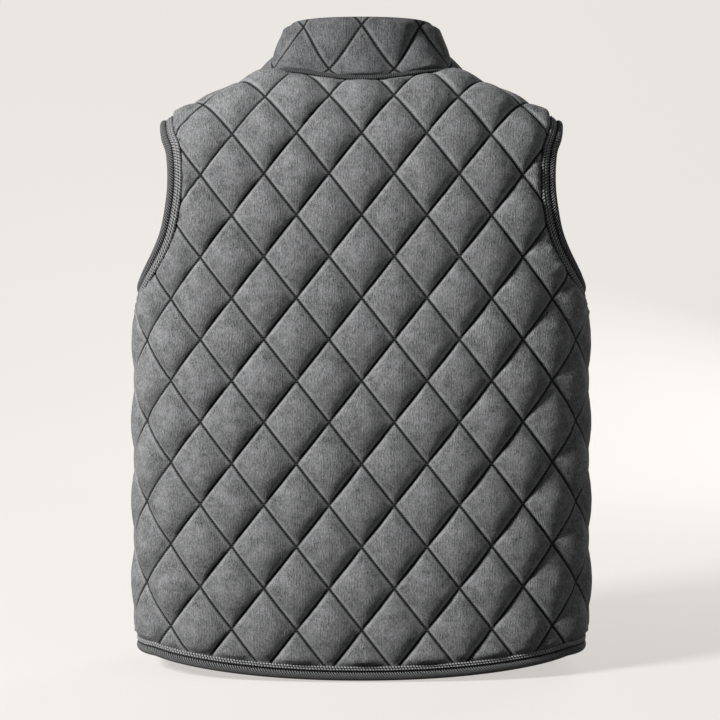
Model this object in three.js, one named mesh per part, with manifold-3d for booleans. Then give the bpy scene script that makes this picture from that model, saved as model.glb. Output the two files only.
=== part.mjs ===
// Quilted vest with a stand collar, filled out as if worn. Millimetres, +Z up.
// The front faces -Y and the wearer's left is +X. The origin is the middle of
// the neck opening, level with the top of the shoulder seams at the neck.
import * as THREE from "three";
import Module from "manifold-3d";

// Body: the inside face of the cloth, as one level section and its shoulders.
const HALF_WIDTH = 238.5;
const BACK_DEPTH = 104;
const FRONT_DEPTH = 112;
const SQUARENESS = 3;
const TURN_IN_HEIGHT = -200;
const SHOULDER_TOP = 6.5;
const SHOULDER_FALL = 0.515;
const SHOULDER_BEND_AT = 90;
const SHOULDER_BEND = 40;

// Edges of the cut, before the binding goes on.
const HEM_CENTRE = -639.6;
const HEM_RISE = 18;
const HEM_RISE_WIDTH = 222;
const FRONT_EDGE = 5;
const SEAM_GAP = 0.3;
const ARMHOLE_BACK = [
  { x: 214, z: "seam" },
  { x: 211, z: -70 },
  { x: 202, z: -94 },
  { x: 199, z: -116 },
  { x: 199, z: -138 },
  { x: 202, z: -160 },
  { x: 207, z: -182 },
  { x: 216.5, z: -203 },
  { x: 228, z: -222 },
  { x: 236, z: -235 },
];
const ARMHOLE_FRONT = [
  { x: 214, z: "seam" },
  { x: 209, z: -70 },
  { x: 194, z: -94 },
  { x: 187, z: -116 },
  { x: 185, z: -140 },
  { x: 188, z: -164 },
  { x: 196, z: -188 },
  { x: 210, z: -208 },
  { x: 224, z: -227 },
  { x: 235, z: -238 },
];
const UNDERARM = -241;

// Neck seam and top edge of the collar, as half-ovals seen from above.
const NECK = { halfWidth: 112, back: 70, front: 104 };
const COLLAR_TOP = { halfWidth: 75, back: 57, front: 79 };
const COLLAR_TOP_BACK = 49;
const COLLAR_TOP_SIDE = 52;
const COLLAR_TOP_FRONT = -14;
const COLLAR_HEIGHT = 68;
const COLLAR_TAPER = 0.33;
const COLLAR_SEAM_GAP = 1.2;
const COLLAR_LEAVE = 8;
const COLLAR_ARRIVE = 50;

// Quilting: diamonds, half a diamond across and half a diamond up.
const QUILT_HALF_WIDTH = 33.5;
const QUILT_HALF_HEIGHT = 42.65;
const QUILT_STEPS = 2;
const BODY_CROSSING = -336;
const COLLAR_CROSSING = 58;
const CLOTH = 2.4;
const STITCHED = 2.9;
const PUFFED = 10.2;
const COLLAR_PUFFED = 8.2;

// Widths of flat cloth at each kind of edge and of the rise behind it.
const FLAT = {
  bound: { flat: 17, rise: 12 },
  hem: { flat: 12.5, rise: 11 },
  seam: { flat: 0, rise: 12 },
  shoulder: { flat: 1, rise: 56 },
  neck: { flat: 6, rise: 12 },
  zip: { flat: 1, rise: 14 },
  collarTop: { flat: 0, rise: 10 },
};

// Binding of hem and armholes, folded over the edge of the cloth. out runs past
// the cloth's edge, up runs away from the body. The hem's is narrower.
const BINDING = [
  { out: -10, up: -2.4 },
  { out: 1.2, up: -1.6 },
  { out: 1.2, up: 3.3 },
  { out: -14.2, up: 3.3 },
  { out: -14.2, up: 4.3 },
  { out: -12.4, up: 5.4 },
  { out: -8.4, up: 4.3 },
  { out: -3.8, up: 5.4 },
  { out: -1.2, up: 4.0 },
  { out: 2.4, up: 4.8 },
  { out: 4.4, up: 1.6 },
  { out: 2.4, up: -2.4 },
  { out: -10, up: -3.4 },
];
const HEM_BINDING_WIDTH = 0.68;
const STRIP_SAG = 0.3;
const STRIP_STEP = 90;
const PIPING = { across: 3.1, up: 1.6, below: 2.4, lift: 0.4, sides: 8 };

// Zip: both tapes with the closed chain between them, slider and pull tab.
const ZIP = [
  { x: -14, up: -1.3 },
  { x: 14, up: -1.3 },
  { x: 14, up: -0.4 },
  { x: 2.9, up: -0.4 },
  { x: 2.9, up: 1.5 },
  { x: -2.9, up: 1.5 },
  { x: -2.9, up: -0.4 },
  { x: -14, up: -0.4 },
];
const ZIP_START = 15;
const SLIDER_AT = 56;
const SLIDER = { width: 8.4, bottom: -7, top: 6, back: -3, front: 3.4, post: 3 };
const BRIDGE = { width: 2.4, bottom: -4.6, top: 3, height: 8, bar: 1.2 };
const PULL = { width: 5.6, length: 26, thick: 1.3, eye: 1.9, bar: 1.3, pin: 4.9 };

const v3 = (x, y, z) => new THREE.Vector3(x, y, z);

// One quarter of the level section, from the middle round to the side seam,
// as points a known distance apart along the cloth.
function levelQuarter(depth) {
  const rows = [{ x: 0, share: 1, round: 0 }];
  const steps = 240;
  for (let i = 1; i <= steps; i++) {
    const t = (i / steps) * (Math.PI / 2);
    const x = HALF_WIDTH * Math.sin(t) ** (2 / SQUARENESS);
    const share = Math.max(0, Math.cos(t)) ** (2 / SQUARENESS);
    const last = rows[i - 1];
    const round = last.round + Math.hypot(x - last.x, depth * (share - last.share));
    rows.push({ x, share, round });
  }
  return rows;
}

// A value between the rows of a table, found by one of its columns.
function lookUp(rows, key, at, wanted) {
  let low = 0;
  let high = rows.length - 1;
  while (high - low > 1) {
    const mid = (low + high) >> 1;
    if (rows[mid][key] <= at) low = mid;
    else high = mid;
  }
  const span = rows[high][key] - rows[low][key];
  const t = span > 0 ? (at - rows[low][key]) / span : 0;
  return rows[low][wanted] + t * (rows[high][wanted] - rows[low][wanted]);
}

const BACK = { depth: BACK_DEPTH, facing: 1, quarter: levelQuarter(BACK_DEPTH) };
const FRONT = { depth: FRONT_DEPTH, facing: -1, quarter: levelQuarter(FRONT_DEPTH) };
for (const side of [BACK, FRONT]) side.seam = side.quarter.at(-1).round;

const roundOf = (side, x) => lookUp(side.quarter, "x", x, "round");

// Height of the shoulder line over a place x from the middle.
function shoulderHeight(x) {
  const past = Math.abs(x) - SHOULDER_BEND_AT;
  return SHOULDER_TOP - (SHOULDER_FALL * (past + Math.hypot(past, SHOULDER_BEND))) / 2;
}

// The cloth's way over the shoulder above one place of the level section.
function overShoulder(x, depth) {
  const rise = shoulderHeight(x) - TURN_IN_HEIGHT;
  const rows = [{ y: depth, z: TURN_IN_HEIGHT, along: 0 }];
  const steps = 60;
  for (let i = 1; i <= steps; i++) {
    const t = (i / steps) * (Math.PI / 2);
    const y = depth * Math.max(0, Math.cos(t)) ** (2 / SQUARENESS);
    const z = TURN_IN_HEIGHT + rise * Math.sin(t) ** (2 / SQUARENESS);
    const last = rows[i - 1];
    rows.push({ y, z, along: last.along + Math.hypot(y - last.y, z - last.z) });
  }
  return rows;
}

// Place on the inside face of the body, by the distance round from the middle
// and the height up the cloth.
function bodyPoint(side, round, up) {
  const past = Math.abs(round) - side.seam;
  const x = past > 0 ? HALF_WIDTH : lookUp(side.quarter, "round", Math.abs(round), "x");
  const share =
    past > 0 ? -past / side.depth : lookUp(side.quarter, "round", Math.abs(round), "share");
  let y = side.depth * share;
  let z = up;
  const along = up - TURN_IN_HEIGHT;
  if (along > 0 && share > 0) {
    const rows = overShoulder(x, y);
    const end = rows.at(-1);
    if (along > end.along) {
      y = end.along - along;
      z = end.z;
    } else {
      y = lookUp(rows, "along", along, "y");
      z = lookUp(rows, "along", along, "z");
    }
  }
  return v3(Math.sign(round) * x, side.facing * y, z);
}

// Height up the cloth of the shoulder seam, of a level z and of a depth y.
const seamUp = (side, round) => {
  const x = lookUp(side.quarter, "round", Math.min(Math.abs(round), side.seam), "x");
  const share = lookUp(side.quarter, "round", Math.min(Math.abs(round), side.seam), "share");
  return TURN_IN_HEIGHT + overShoulder(x, side.depth * share).at(-1).along;
};
function upOfLevel(side, x, z) {
  if (z <= TURN_IN_HEIGHT) return z;
  const share = lookUp(side.quarter, "x", x, "share");
  return TURN_IN_HEIGHT + lookUp(overShoulder(x, side.depth * share), "z", z, "along");
}
function upOfDepth(side, x, y) {
  const share = lookUp(side.quarter, "x", x, "share");
  const rows = overShoulder(x, side.depth * share).reverse();
  return TURN_IN_HEIGHT + lookUp(rows, "y", y, "along");
}

// Frame on a surface: the place, the way out of the cloth and both ways along it.
function frameOn(surface, round, up, outwards) {
  const step = 0.5;
  const acrossWay = surface(round + step, up).sub(surface(round - step, up)).normalize();
  const upWay = surface(round, up + step).sub(surface(round, up - step)).normalize();
  const out = v3().crossVectors(acrossWay, upWay).multiplyScalar(outwards).normalize();
  return { place: surface(round, up), out, acrossWay, upWay };
}

// Armhole and neck as lines of flat points, and how far inside them a place is.
function armholeLine(side, table) {
  const flat = table.map(({ x, z }) => {
    const round = roundOf(side, x);
    const up = z === "seam" ? seamUp(side, round) : upOfLevel(side, x, z);
    return new THREE.Vector2(round, up);
  });
  flat.push(new THREE.Vector2(side.seam, UNDERARM));
  return new THREE.SplineCurve(flat).getPoints(90);
}
function neckFlat(side, turn) {
  const x = NECK.halfWidth * Math.sin(turn);
  const y = (side === BACK ? NECK.back : NECK.front) * Math.cos(turn);
  const round = roundOf(side, x);
  const up = turn > Math.PI / 2 - 1e-6 ? seamUp(side, round) : upOfDepth(side, x, y);
  return new THREE.Vector2(round, up);
}
function neckLine(side) {
  const line = [];
  for (let i = 0; i <= 60; i++) line.push(neckFlat(side, (i / 60) * (Math.PI / 2)));
  return line;
}
function insideOf(line, firstOn, lastOn, keep) {
  const long = [
    line[0].clone().add(firstOn),
    ...line,
    line.at(-1).clone().add(lastOn),
  ];
  return (round, up) => {
    const p = new THREE.Vector2(Math.abs(round), up);
    let best = Infinity;
    let sign = 1;
    for (let i = 1; i < long.length; i++) {
      const a = long[i - 1];
      const along = long[i].clone().sub(a);
      const to = p.clone().sub(a);
      const t = Math.min(1, Math.max(0, to.dot(along) / along.lengthSq()));
      const gap = to.distanceTo(along.clone().multiplyScalar(t));
      if (gap < best - 1e-9) {
        best = gap;
        sign = Math.sign(along.cross(to)) || 1;
      }
    }
    return keep * sign * best;
  };
}

for (const [side, table] of [
  [BACK, ARMHOLE_BACK],
  [FRONT, ARMHOLE_FRONT],
]) {
  side.armhole = armholeLine(side, table);
  side.inArmhole = insideOf(side.armhole, { x: 0, y: 200 }, { x: 200, y: 0 }, -1);
  side.neck = neckLine(side);
  side.inNeck = insideOf(side.neck, { x: -200, y: 0 }, { x: 0, y: 200 }, -1);
}
const hemUp = (round) =>
  HEM_CENTRE + HEM_RISE * Math.min(1, Math.abs(round) / HEM_RISE_WIDTH) ** 2;

// Flat net of triangles on the quilting's own lines, so that each sewn line is
// an edge of the net.
function quiltNet(box, crossing) {
  const wide = QUILT_HALF_WIDTH / QUILT_STEPS;
  const high = QUILT_HALF_HEIGHT / QUILT_STEPS;
  const i0 = Math.floor(box.left / wide);
  const i1 = Math.ceil(box.right / wide);
  const j0 = Math.floor((box.bottom - crossing) / high);
  const j1 = Math.ceil((box.top - crossing) / high);
  const points = [];
  const faces = [];
  for (let j = j0; j <= j1; j++)
    for (let i = i0; i <= i1; i++) points.push([i * wide, crossing + j * high]);
  const n = i1 - i0 + 1;
  for (let j = j0; j < j1; j++)
    for (let i = i0; i < i1; i++) {
      const a = (j - j0) * n + i - i0;
      const [b, c, d] = [a + 1, a + n + 1, a + n];
      const even = (Math.floor(i / QUILT_STEPS) + Math.floor(j / QUILT_STEPS)) % 2 === 0;
      if (even) faces.push([a, b, c], [a, c, d]);
      else faces.push([a, b, d], [b, c, d]);
    }
  return { points, faces, fixed: points.map(() => false) };
}

// Cuts a net along the line where inside() is nought. Points close to the line
// slide onto it, and with drop the part outside goes.
function cutNet(net, inside, drop) {
  const near = 4.8;
  const slope = (p) => {
    const e = 0.05;
    const gx = (inside(p[0] + e, p[1]) - inside(p[0] - e, p[1])) / (2 * e);
    const gy = (inside(p[0], p[1] + e) - inside(p[0], p[1] - e)) / (2 * e);
    return [gx, gy, gx * gx + gy * gy || 1];
  };
  const value = net.points.map((p, i) => {
    let v = inside(p[0], p[1]);
    if (Math.abs(v) < near && !net.fixed[i]) {
      for (let k = 0; k < 4; k++) {
        const [gx, gy, g2] = slope(p);
        p[0] -= (v * gx) / g2;
        p[1] -= (v * gy) / g2;
        v = inside(p[0], p[1]);
      }
      net.fixed[i] = true;
      return 0;
    }
    return Math.abs(v) < 0.08 ? 0 : v;
  });
  const made = new Map();
  const crossing = (a, b) => {
    const key = a < b ? a + "," + b : b + "," + a;
    if (!made.has(key)) {
      let [p, q] = [net.points[a], net.points[b]];
      let [u, w] = [value[a], value[b]];
      let m = p;
      for (let k = 0; k < 12; k++) {
        const t = Math.min(0.95, Math.max(0.05, u / (u - w)));
        m = [p[0] + t * (q[0] - p[0]), p[1] + t * (q[1] - p[1])];
        const v = inside(m[0], m[1]);
        if (v * u > 0) [p, u] = [m, v];
        else [q, w] = [m, v];
      }
      net.points.push(m);
      net.fixed.push(true);
      value.push(0);
      made.set(key, net.points.length - 1);
    }
    return made.get(key);
  };
  const out = [];
  for (const face of net.faces) {
    const plus = face.filter((i) => value[i] > 0).length;
    const minus = face.filter((i) => value[i] < 0).length;
    if (!plus || !minus) {
      out.push({ face, outer: minus > 0 || (!plus && !minus && drop && middle(face) < 0) });
      continue;
    }
    // Turned so that the corner alone on its side, or the one on the line, is first.
    const alone = plus + minus === 2 ? 0 : plus === 1 ? 1 : -1;
    let k = face.findIndex((i) => Math.sign(value[i]) === alone);
    const [a, b, c] = [face[k], face[(k + 1) % 3], face[(k + 2) % 3]];
    if (alone === 0) {
      const m = crossing(b, c);
      out.push({ face: [a, b, m], outer: value[b] < 0 }, { face: [a, m, c], outer: value[c] < 0 });
    } else {
      const m = crossing(a, b);
      const n = crossing(a, c);
      out.push({ face: [a, m, n], outer: value[a] < 0 });
      const far = (i, j) =>
        Math.hypot(
          net.points[i][0] - net.points[j][0],
          net.points[i][1] - net.points[j][1],
        );
      const outer = value[b] < 0;
      if (far(m, c) < far(n, b)) out.push({ face: [m, b, c], outer }, { face: [m, c, n], outer });
      else out.push({ face: [m, b, n], outer }, { face: [b, c, n], outer });
    }
  }
  function middle(face) {
    const [a, b, c] = face.map((i) => net.points[i]);
    return inside((a[0] + b[0] + c[0]) / 3, (a[1] + b[1] + c[1]) / 3);
  }
  net.faces = out.filter((o) => !(drop && o.outer)).map((o) => o.face);
  return net;
}

// How far the padding stands up at a place: sewn down along the quilting, full
// in the middle of each diamond and flat along the edges.
function padding(round, up, crossing, full, edges) {
  const a = (round / QUILT_HALF_WIDTH + (up - crossing) / QUILT_HALF_HEIGHT) / 2;
  const b = (round / QUILT_HALF_WIDTH - (up - crossing) / QUILT_HALF_HEIGHT) / 2;
  const fromLine = (t) => 2 * Math.abs(t - Math.round(t));
  const swell = (t) => 1 - (1 - t) ** 2.2;
  let height = STITCHED - CLOTH;
  height += (full - STITCHED) * Math.sqrt(swell(fromLine(a)) * swell(fromLine(b)));
  for (const { inside, kind } of edges) {
    const { flat, rise } = FLAT[kind];
    const t = Math.min(1, Math.max(0, (inside(round, up) - flat) / rise));
    height *= t * t * (3 - 2 * t);
  }
  return CLOTH + height;
}

// Closed wall of cloth: its flat net put on the plain inside face and again on
// the padded outside face, joined round the rim.
function wall(name, net, surface, outwards, thickness) {
  const used = [...new Set(net.faces.flat())];
  const place = new Map(used.map((i, k) => [i, k]));
  const n = used.length;
  const xyz = [];
  const inner = [];
  for (const i of used) {
    const [round, up] = net.points[i];
    const { place: at, out } = frameOn(surface, round, up, outwards);
    inner.push(at.x, at.y, at.z);
    at.addScaledVector(out, thickness(round, up));
    xyz.push(at.x, at.y, at.z);
  }
  const index = [];
  const edges = new Set();
  for (const face of net.faces) {
    let [a, b, c] = face.map((i) => place.get(i));
    if (outwards < 0) [b, c] = [c, b];
    index.push(a, b, c, a + n, c + n, b + n);
    for (const [p, q] of [[a, b], [b, c], [c, a]]) edges.add(p + "," + q);
  }
  for (const edge of edges) {
    const [p, q] = edge.split(",").map(Number);
    if (!edges.has(q + "," + p)) index.push(q, p, p + n, q, p + n, q + n);
  }
  return solid(name, [...xyz, ...inner], index);
}

function solid(name, xyz, index, colour = 0x77777a) {
  const geometry = new THREE.BufferGeometry();
  geometry.setAttribute("position", new THREE.Float32BufferAttribute(xyz, 3));
  geometry.setIndex(index);
  geometry.computeVertexNormals();
  const mesh = new THREE.Mesh(
    geometry,
    new THREE.MeshStandardMaterial({ color: colour, roughness: 0.95, flatShading: true }),
  );
  mesh.name = name;
  return mesh;
}

// Strip with one section carried along stations. Each station turns a point of
// the section into its place, and the fewest stations are kept that follow the
// way closely.
function strip(name, stations, outline, closed, colour) {
  const flat = outline.map(([p, q]) => new THREE.Vector2(p, q));
  if (THREE.ShapeUtils.isClockWise(flat)) flat.reverse();
  const inmost = Math.min(...flat.map(({ x }) => x));
  const rings = follow(stations, closed, inmost).map((at) => flat.map(({ x, y }) => at(x, y)));
  const n = flat.length;
  const xyz = rings.flat().flatMap(({ x, y, z }) => [x, y, z]);
  const index = [];
  for (let r = 0; r < (closed ? rings.length : rings.length - 1); r++)
    for (let i = 0; i < n; i++) {
      const next = (r + 1) % rings.length;
      const [a, b] = [r * n + i, r * n + ((i + 1) % n)];
      const [d, c] = [next * n + i, next * n + ((i + 1) % n)];
      index.push(a, c, b, a, d, c);
    }
  if (!closed) {
    const last = (rings.length - 1) * n;
    for (const [a, b, c] of THREE.ShapeUtils.triangulateShape(flat, []))
      index.push(a, b, c, last + a, last + c, last + b);
  }
  return facingOut(name, xyz, index, colour);
}
function facingOut(name, xyz, index, colour) {
  if (volumeOf(xyz, index) < 0)
    for (let i = 0; i < index.length; i += 3)
      [index[i + 1], index[i + 2]] = [index[i + 2], index[i + 1]];
  return solid(name, xyz, index, colour);
}
// Stations a strip keeps, so that neither its edge nor its inner end sags too far.
function follow(stations, closed, inmost) {
  const ways = [0, inmost].map((p) => stations.map((at) => at(p, 0)));
  const kept = [0];
  const line = new THREE.Line3();
  const near = v3();
  for (let i = 1; i < stations.length; i++) {
    const from = kept.at(-1);
    let sag = 0;
    for (const way of ways) {
      line.set(way[from], way[i]);
      for (let k = from + 1; k < i; k++) {
        line.closestPointToPoint(way[k], true, near);
        sag = Math.max(sag, near.distanceTo(way[k]));
      }
    }
    if (sag > STRIP_SAG || ways[0][from].distanceTo(ways[0][i]) > STRIP_STEP) kept.push(i - 1);
  }
  const last = stations.length - 1;
  if (!closed && kept.at(-1) !== last) kept.push(last);
  return kept.map((i) => stations[i]);
}
function volumeOf(xyz, index) {
  let six = 0;
  for (let k = 0; k < index.length; k += 3) {
    const [a, b, c] = [0, 1, 2].map((m) => v3().fromArray(xyz, 3 * index[k + m]));
    six += a.dot(b.cross(c));
  }
  return six / 6;
}

const vest = new THREE.Group();
vest.name = "quilted_vest";

// Back and two fronts.
function bodyPanel(name, side, range) {
  const surface = (round, up) => bodyPoint(side, round, up);
  const top = Math.max(...side.neck.map((p) => p.y), ...side.armhole.map((p) => p.y)) + 12;
  const box = { left: range[0] - 4, right: range[1] + 4, bottom: HEM_CENTRE - 2, top };
  const hem = (round, up) => up - hemUp(round);
  const shoulder = (round, up) =>
    (seamUp(side, round) - SEAM_GAP / 2 - up) / Math.hypot(1, SHOULDER_FALL);
  const seam = (round) => side.seam - SEAM_GAP / 2 - Math.abs(round);
  const zip = (round) => Math.abs(round) - FRONT_EDGE;
  const edges = [
    { inside: seam, kind: "seam" },
    { inside: hem, kind: "hem" },
    { inside: side.inArmhole, kind: "bound" },
    { inside: side.inNeck, kind: "neck" },
    { inside: shoulder, kind: "shoulder" },
  ];
  if (side === FRONT) edges.unshift({ inside: zip, kind: "zip" });
  const net = quiltNet(box, BODY_CROSSING);
  for (const { inside } of edges) cutNet(net, inside, true);
  for (const { inside, kind } of edges)
    if (kind === "bound" || kind === "hem" || kind === "neck")
      cutNet(net, (r, u) => inside(r, u) - FLAT[kind].flat, false);
  const thickness = (round, up) => padding(round, up, BODY_CROSSING, PUFFED, edges);
  return wall(name, net, surface, -side.facing, thickness);
}
vest.add(bodyPanel("back", BACK, [-BACK.seam, BACK.seam]));
vest.add(bodyPanel("front_left", FRONT, [FRONT_EDGE, FRONT.seam]));
vest.add(bodyPanel("front_right", FRONT, [-FRONT.seam, -FRONT_EDGE]));

// Neck seam once round, from the middle of the back to the middle of the front:
// where the collar starts and which way the cloth runs there.
function neckStations() {
  const rows = [];
  const steps = 120;
  for (let i = 0; i <= steps; i++) {
    const turn = (i / steps) * Math.PI;
    const side = turn <= Math.PI / 2 ? BACK : FRONT;
    const flat = neckFlat(side, side === BACK ? turn : Math.PI - turn);
    const surface = (round, up) => bodyPoint(side, round, up);
    const up = Math.min(flat.y, seamUp(side, flat.x) - 0.6);
    const frame = frameOn(surface, flat.x, up, -side.facing);
    rows.push({ turn, place: bodyPoint(side, flat.x, flat.y), out: frame.out });
  }
  let round = 0;
  rows.forEach((row, i) => {
    if (i) round += row.place.distanceTo(rows[i - 1].place);
    row.round = round;
    const before = i ? rows[i - 1].place : mirrored(rows[1].place);
    const after = i < steps ? rows[i + 1].place : mirrored(rows[steps - 1].place);
    const along = after.clone().sub(before).normalize();
    row.into = v3().crossVectors(row.out, along).normalize();
    if (row.into.dot(v3(-row.place.x, -row.place.y, 400)) < 0) row.into.negate();
  });
  return rows;
}
function mirrored(p) {
  return v3(-p.x, p.y, p.z);
}
const neckRows = neckStations();
const NECK_HALF = neckRows.at(-1).round;

// Place on the inside face of the collar, by the distance round the neck seam
// from the middle of the back and the height up the collar.
function collarPoint(round, up) {
  const at = Math.min(Math.abs(round), NECK_HALF);
  let k = neckRows.findIndex((row) => row.round >= at);
  k = Math.max(1, k);
  const [p, q] = [neckRows[k - 1], neckRows[k]];
  const t = (at - p.round) / (q.round - p.round);
  const turn = p.turn + t * (q.turn - p.turn);
  const out = p.out.clone().lerp(q.out, t).normalize();
  const into = p.into.clone().lerp(q.into, t).normalize();
  const seam = p.place.clone().lerp(q.place, t).addScaledVector(into, COLLAR_SEAM_GAP);
  const [s, c] = [Math.sin(turn), Math.cos(turn)];
  const front = c < 0;
  const width = COLLAR_TOP.halfWidth * s;
  const edge = front ? FRONT_EDGE * (1 - COLLAR_TOP.halfWidth / NECK.halfWidth) * c * c : 0;
  const top = v3(
    at >= NECK_HALF ? 0 : width + edge,
    c * (front ? COLLAR_TOP.front : COLLAR_TOP.back),
    front
      ? COLLAR_TOP_SIDE + (COLLAR_TOP_FRONT - COLLAR_TOP_SIDE) * c * c
      : COLLAR_TOP_BACK + (COLLAR_TOP_SIDE - COLLAR_TOP_BACK) * s * s,
  );
  const rise = top.clone().sub(seam);
  const f = up / COLLAR_HEIGHT;
  const leave = into.multiplyScalar(COLLAR_LEAVE);
  const arrive = v3(rise.x * 0.35, rise.y * 0.35, Math.abs(rise.z)).normalize();
  arrive.multiplyScalar(COLLAR_ARRIVE);
  const made = seam.multiplyScalar(2 * f ** 3 - 3 * f ** 2 + 1);
  made.addScaledVector(leave, f ** 3 - 2 * f ** 2 + f);
  made.addScaledVector(top, 3 * f ** 2 - 2 * f ** 3);
  made.addScaledVector(arrive, f ** 3 - f ** 2);
  if (round < 0) made.x = -made.x;
  return { made, out: round < 0 ? mirrored(out) : out };
}
// The collar is cut as a band that is shorter along its top edge.
const collarWidth = (up) => 1 - (COLLAR_TAPER * up) / COLLAR_HEIGHT;
const collarSurface = (across, up) => collarPoint(across / collarWidth(up), up).made;
const COLLAR_END = neckRows.find((row) => row.turn > 2 && row.place.x < FRONT_EDGE).round - 1.5;

function collarPanel() {
  const low = (round, up) => up;
  const high = (round, up) => COLLAR_HEIGHT - up;
  const ends = (across, up) => COLLAR_END * collarWidth(up) - Math.abs(across);
  const edges = [
    { inside: ends, kind: "zip" },
    { inside: low, kind: "neck" },
    { inside: high, kind: "collarTop" },
  ];
  const box = { left: -COLLAR_END, right: COLLAR_END, bottom: -2, top: COLLAR_HEIGHT + 2 };
  const net = quiltNet(box, COLLAR_CROSSING);
  for (const { inside } of edges) cutNet(net, inside, true);
  cutNet(net, (r, u) => u - FLAT.neck.flat, false);
  const thickness = (round, up) => padding(round, up, COLLAR_CROSSING, COLLAR_PUFFED, edges);
  return wall("collar", net, collarSurface, -1, thickness);
}
vest.add(collarPanel());

// Piping along the outside of the neck seam, just below the collar.
function pipingStation(round) {
  const at = Math.abs(round);
  const k = Math.max(1, neckRows.findIndex((row) => row.round >= at));
  const [p, q] = [neckRows[k - 1], neckRows[k]];
  const t = (at - p.round) / (q.round - p.round);
  const turned = (name) => p[name].clone().lerp(q[name], t);
  const out = turned("out").normalize();
  const into = turned("into").normalize();
  const middle = turned("place")
    .addScaledVector(into, -PIPING.below)
    .addScaledVector(out, CLOTH + PIPING.lift + PIPING.up);
  return (across, up) => {
    const made = middle.clone().addScaledVector(into, across).addScaledVector(out, up);
    return round < 0 ? mirrored(made) : made;
  };
}
const pipingStations = [];
for (let i = -90; i <= 90; i++) pipingStations.push(pipingStation((i / 90) * COLLAR_END));
const round8 = [];
for (let i = 0; i < PIPING.sides; i++) {
  const t = ((i + 0.5) / PIPING.sides) * 2 * Math.PI;
  round8.push([PIPING.across * Math.cos(t), PIPING.up * Math.sin(t)]);
}
vest.add(strip("neck_piping", pipingStations, round8, false, 0x66666a));

// Binding folded over an edge of the body. Its flaps lie along the cloth on both
// faces, and the part past the edge carries straight on from it.
function edgeStation(side, flat, past, mirror) {
  const surface = (round, up) => bodyPoint(side, round, up);
  const onCloth = (p, q) => {
    const { place, out } = frameOn(surface, flat.x + p * past.x, flat.y + p * past.y, -side.facing);
    return place.addScaledVector(out, q);
  };
  const way = onCloth(0, 0).sub(onCloth(-1, 0)).normalize();
  return (p, q) => {
    const made = p > 0 ? onCloth(0, q).addScaledVector(way, p) : onCloth(p, q);
    return mirror ? mirrored(made) : made;
  };
}
const bindingSection = BINDING.map(({ out, up }) => [out, up]);
const hemSection = bindingSection.map(([out, up]) => [
  out < 0 ? out * HEM_BINDING_WIDTH : out,
  up,
]);

function armholeBinding(name, mirror) {
  const along = (side) =>
    side.armhole.map((flat, k) => {
      const before = side.armhole[Math.max(0, k - 1)];
      const after = side.armhole[Math.min(side.armhole.length - 1, k + 1)];
      const way = after.clone().sub(before).normalize();
      return edgeStation(side, flat, new THREE.Vector2(-way.y, way.x), mirror);
    });
  const stations = [...along(BACK), ...along(FRONT).slice(1, -1).reverse()];
  return strip(name, stations, bindingSection, true, 0x5c5c60);
}
vest.add(armholeBinding("armhole_binding_left", false));
vest.add(armholeBinding("armhole_binding_right", true));

function hemBinding() {
  const along = (side, from, mirror) => {
    const stations = [];
    const steps = 110;
    for (let i = 0; i <= steps; i++) {
      const round = from + (i / steps) * (side.seam - from);
      const past = new THREE.Vector2((hemUp(round + 1) - hemUp(round - 1)) / 2, -1);
      const flat = new THREE.Vector2(round, hemUp(round));
      stations.push(edgeStation(side, flat, past.normalize(), mirror));
    }
    return stations;
  };
  const stations = [
    ...along(FRONT, FRONT_EDGE, true),
    ...along(BACK, 0, true).slice(0, -1).reverse(),
    ...along(BACK, 0, false).slice(1),
    ...along(FRONT, FRONT_EDGE, false).slice(0, -1).reverse(),
  ];
  return strip("hem_binding", stations, hemSection, false, 0x5c5c60);
}
vest.add(hemBinding());

// Zip along the middle of the front, up the collar to its slider.
function zipStation(part, up) {
  const surface = (round, height) =>
    part === "collar" ? collarPoint(NECK_HALF, height).made : bodyPoint(FRONT, round, height);
  const step = 0.5;
  const way = surface(0, up + step).sub(surface(0, up - step)).normalize();
  const place = surface(0, up);
  place.x = 0;
  const x = v3(1, 0, 0);
  return { place, x, y: v3().crossVectors(x, way).normalize(), way };
}
const zipStations = [];
const neckUp = neckFlat(FRONT, 0).y;
zipStations.push(zipStation("body", HEM_CENTRE + ZIP_START));
for (let up = TURN_IN_HEIGHT; up < neckUp - 3; up += 4) zipStations.push(zipStation("body", up));
const chainEnd = SLIDER_AT + SLIDER.top - SLIDER.post - 0.5;
for (let up = 4; up < chainEnd - 2; up += 3) zipStations.push(zipStation("collar", up));
zipStations.push(zipStation("collar", chainEnd));
const zipPlaces = zipStations.map(
  ({ place, x, y }) =>
    (p, q) =>
      place.clone().addScaledVector(x, p).addScaledVector(y, q),
);
const zipSection = ZIP.map(({ x, up }) => [x, up]);
vest.add(strip("zip_tapes_and_chain", zipPlaces, zipSection, false, 0x2f2f33));

const wasm = await Module();
wasm.setup();
const toSolid = (geometry) => {
  const plain = geometry.index ? geometry.toNonIndexed() : geometry;
  const p = plain.getAttribute("position");
  const seen = new Map();
  const xyz = [];
  const tris = [];
  for (let i = 0; i < p.count; i++) {
    const key = [p.getX(i), p.getY(i), p.getZ(i)].map((v) => v.toFixed(4)).join(",");
    if (!seen.has(key)) {
      seen.set(key, seen.size);
      xyz.push(p.getX(i), p.getY(i), p.getZ(i));
    }
    tris.push(seen.get(key));
  }
  const made = new wasm.Mesh({
    numProp: 3,
    vertProperties: new Float32Array(xyz),
    triVerts: new Uint32Array(tris),
  });
  return new wasm.Manifold(made);
};

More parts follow.
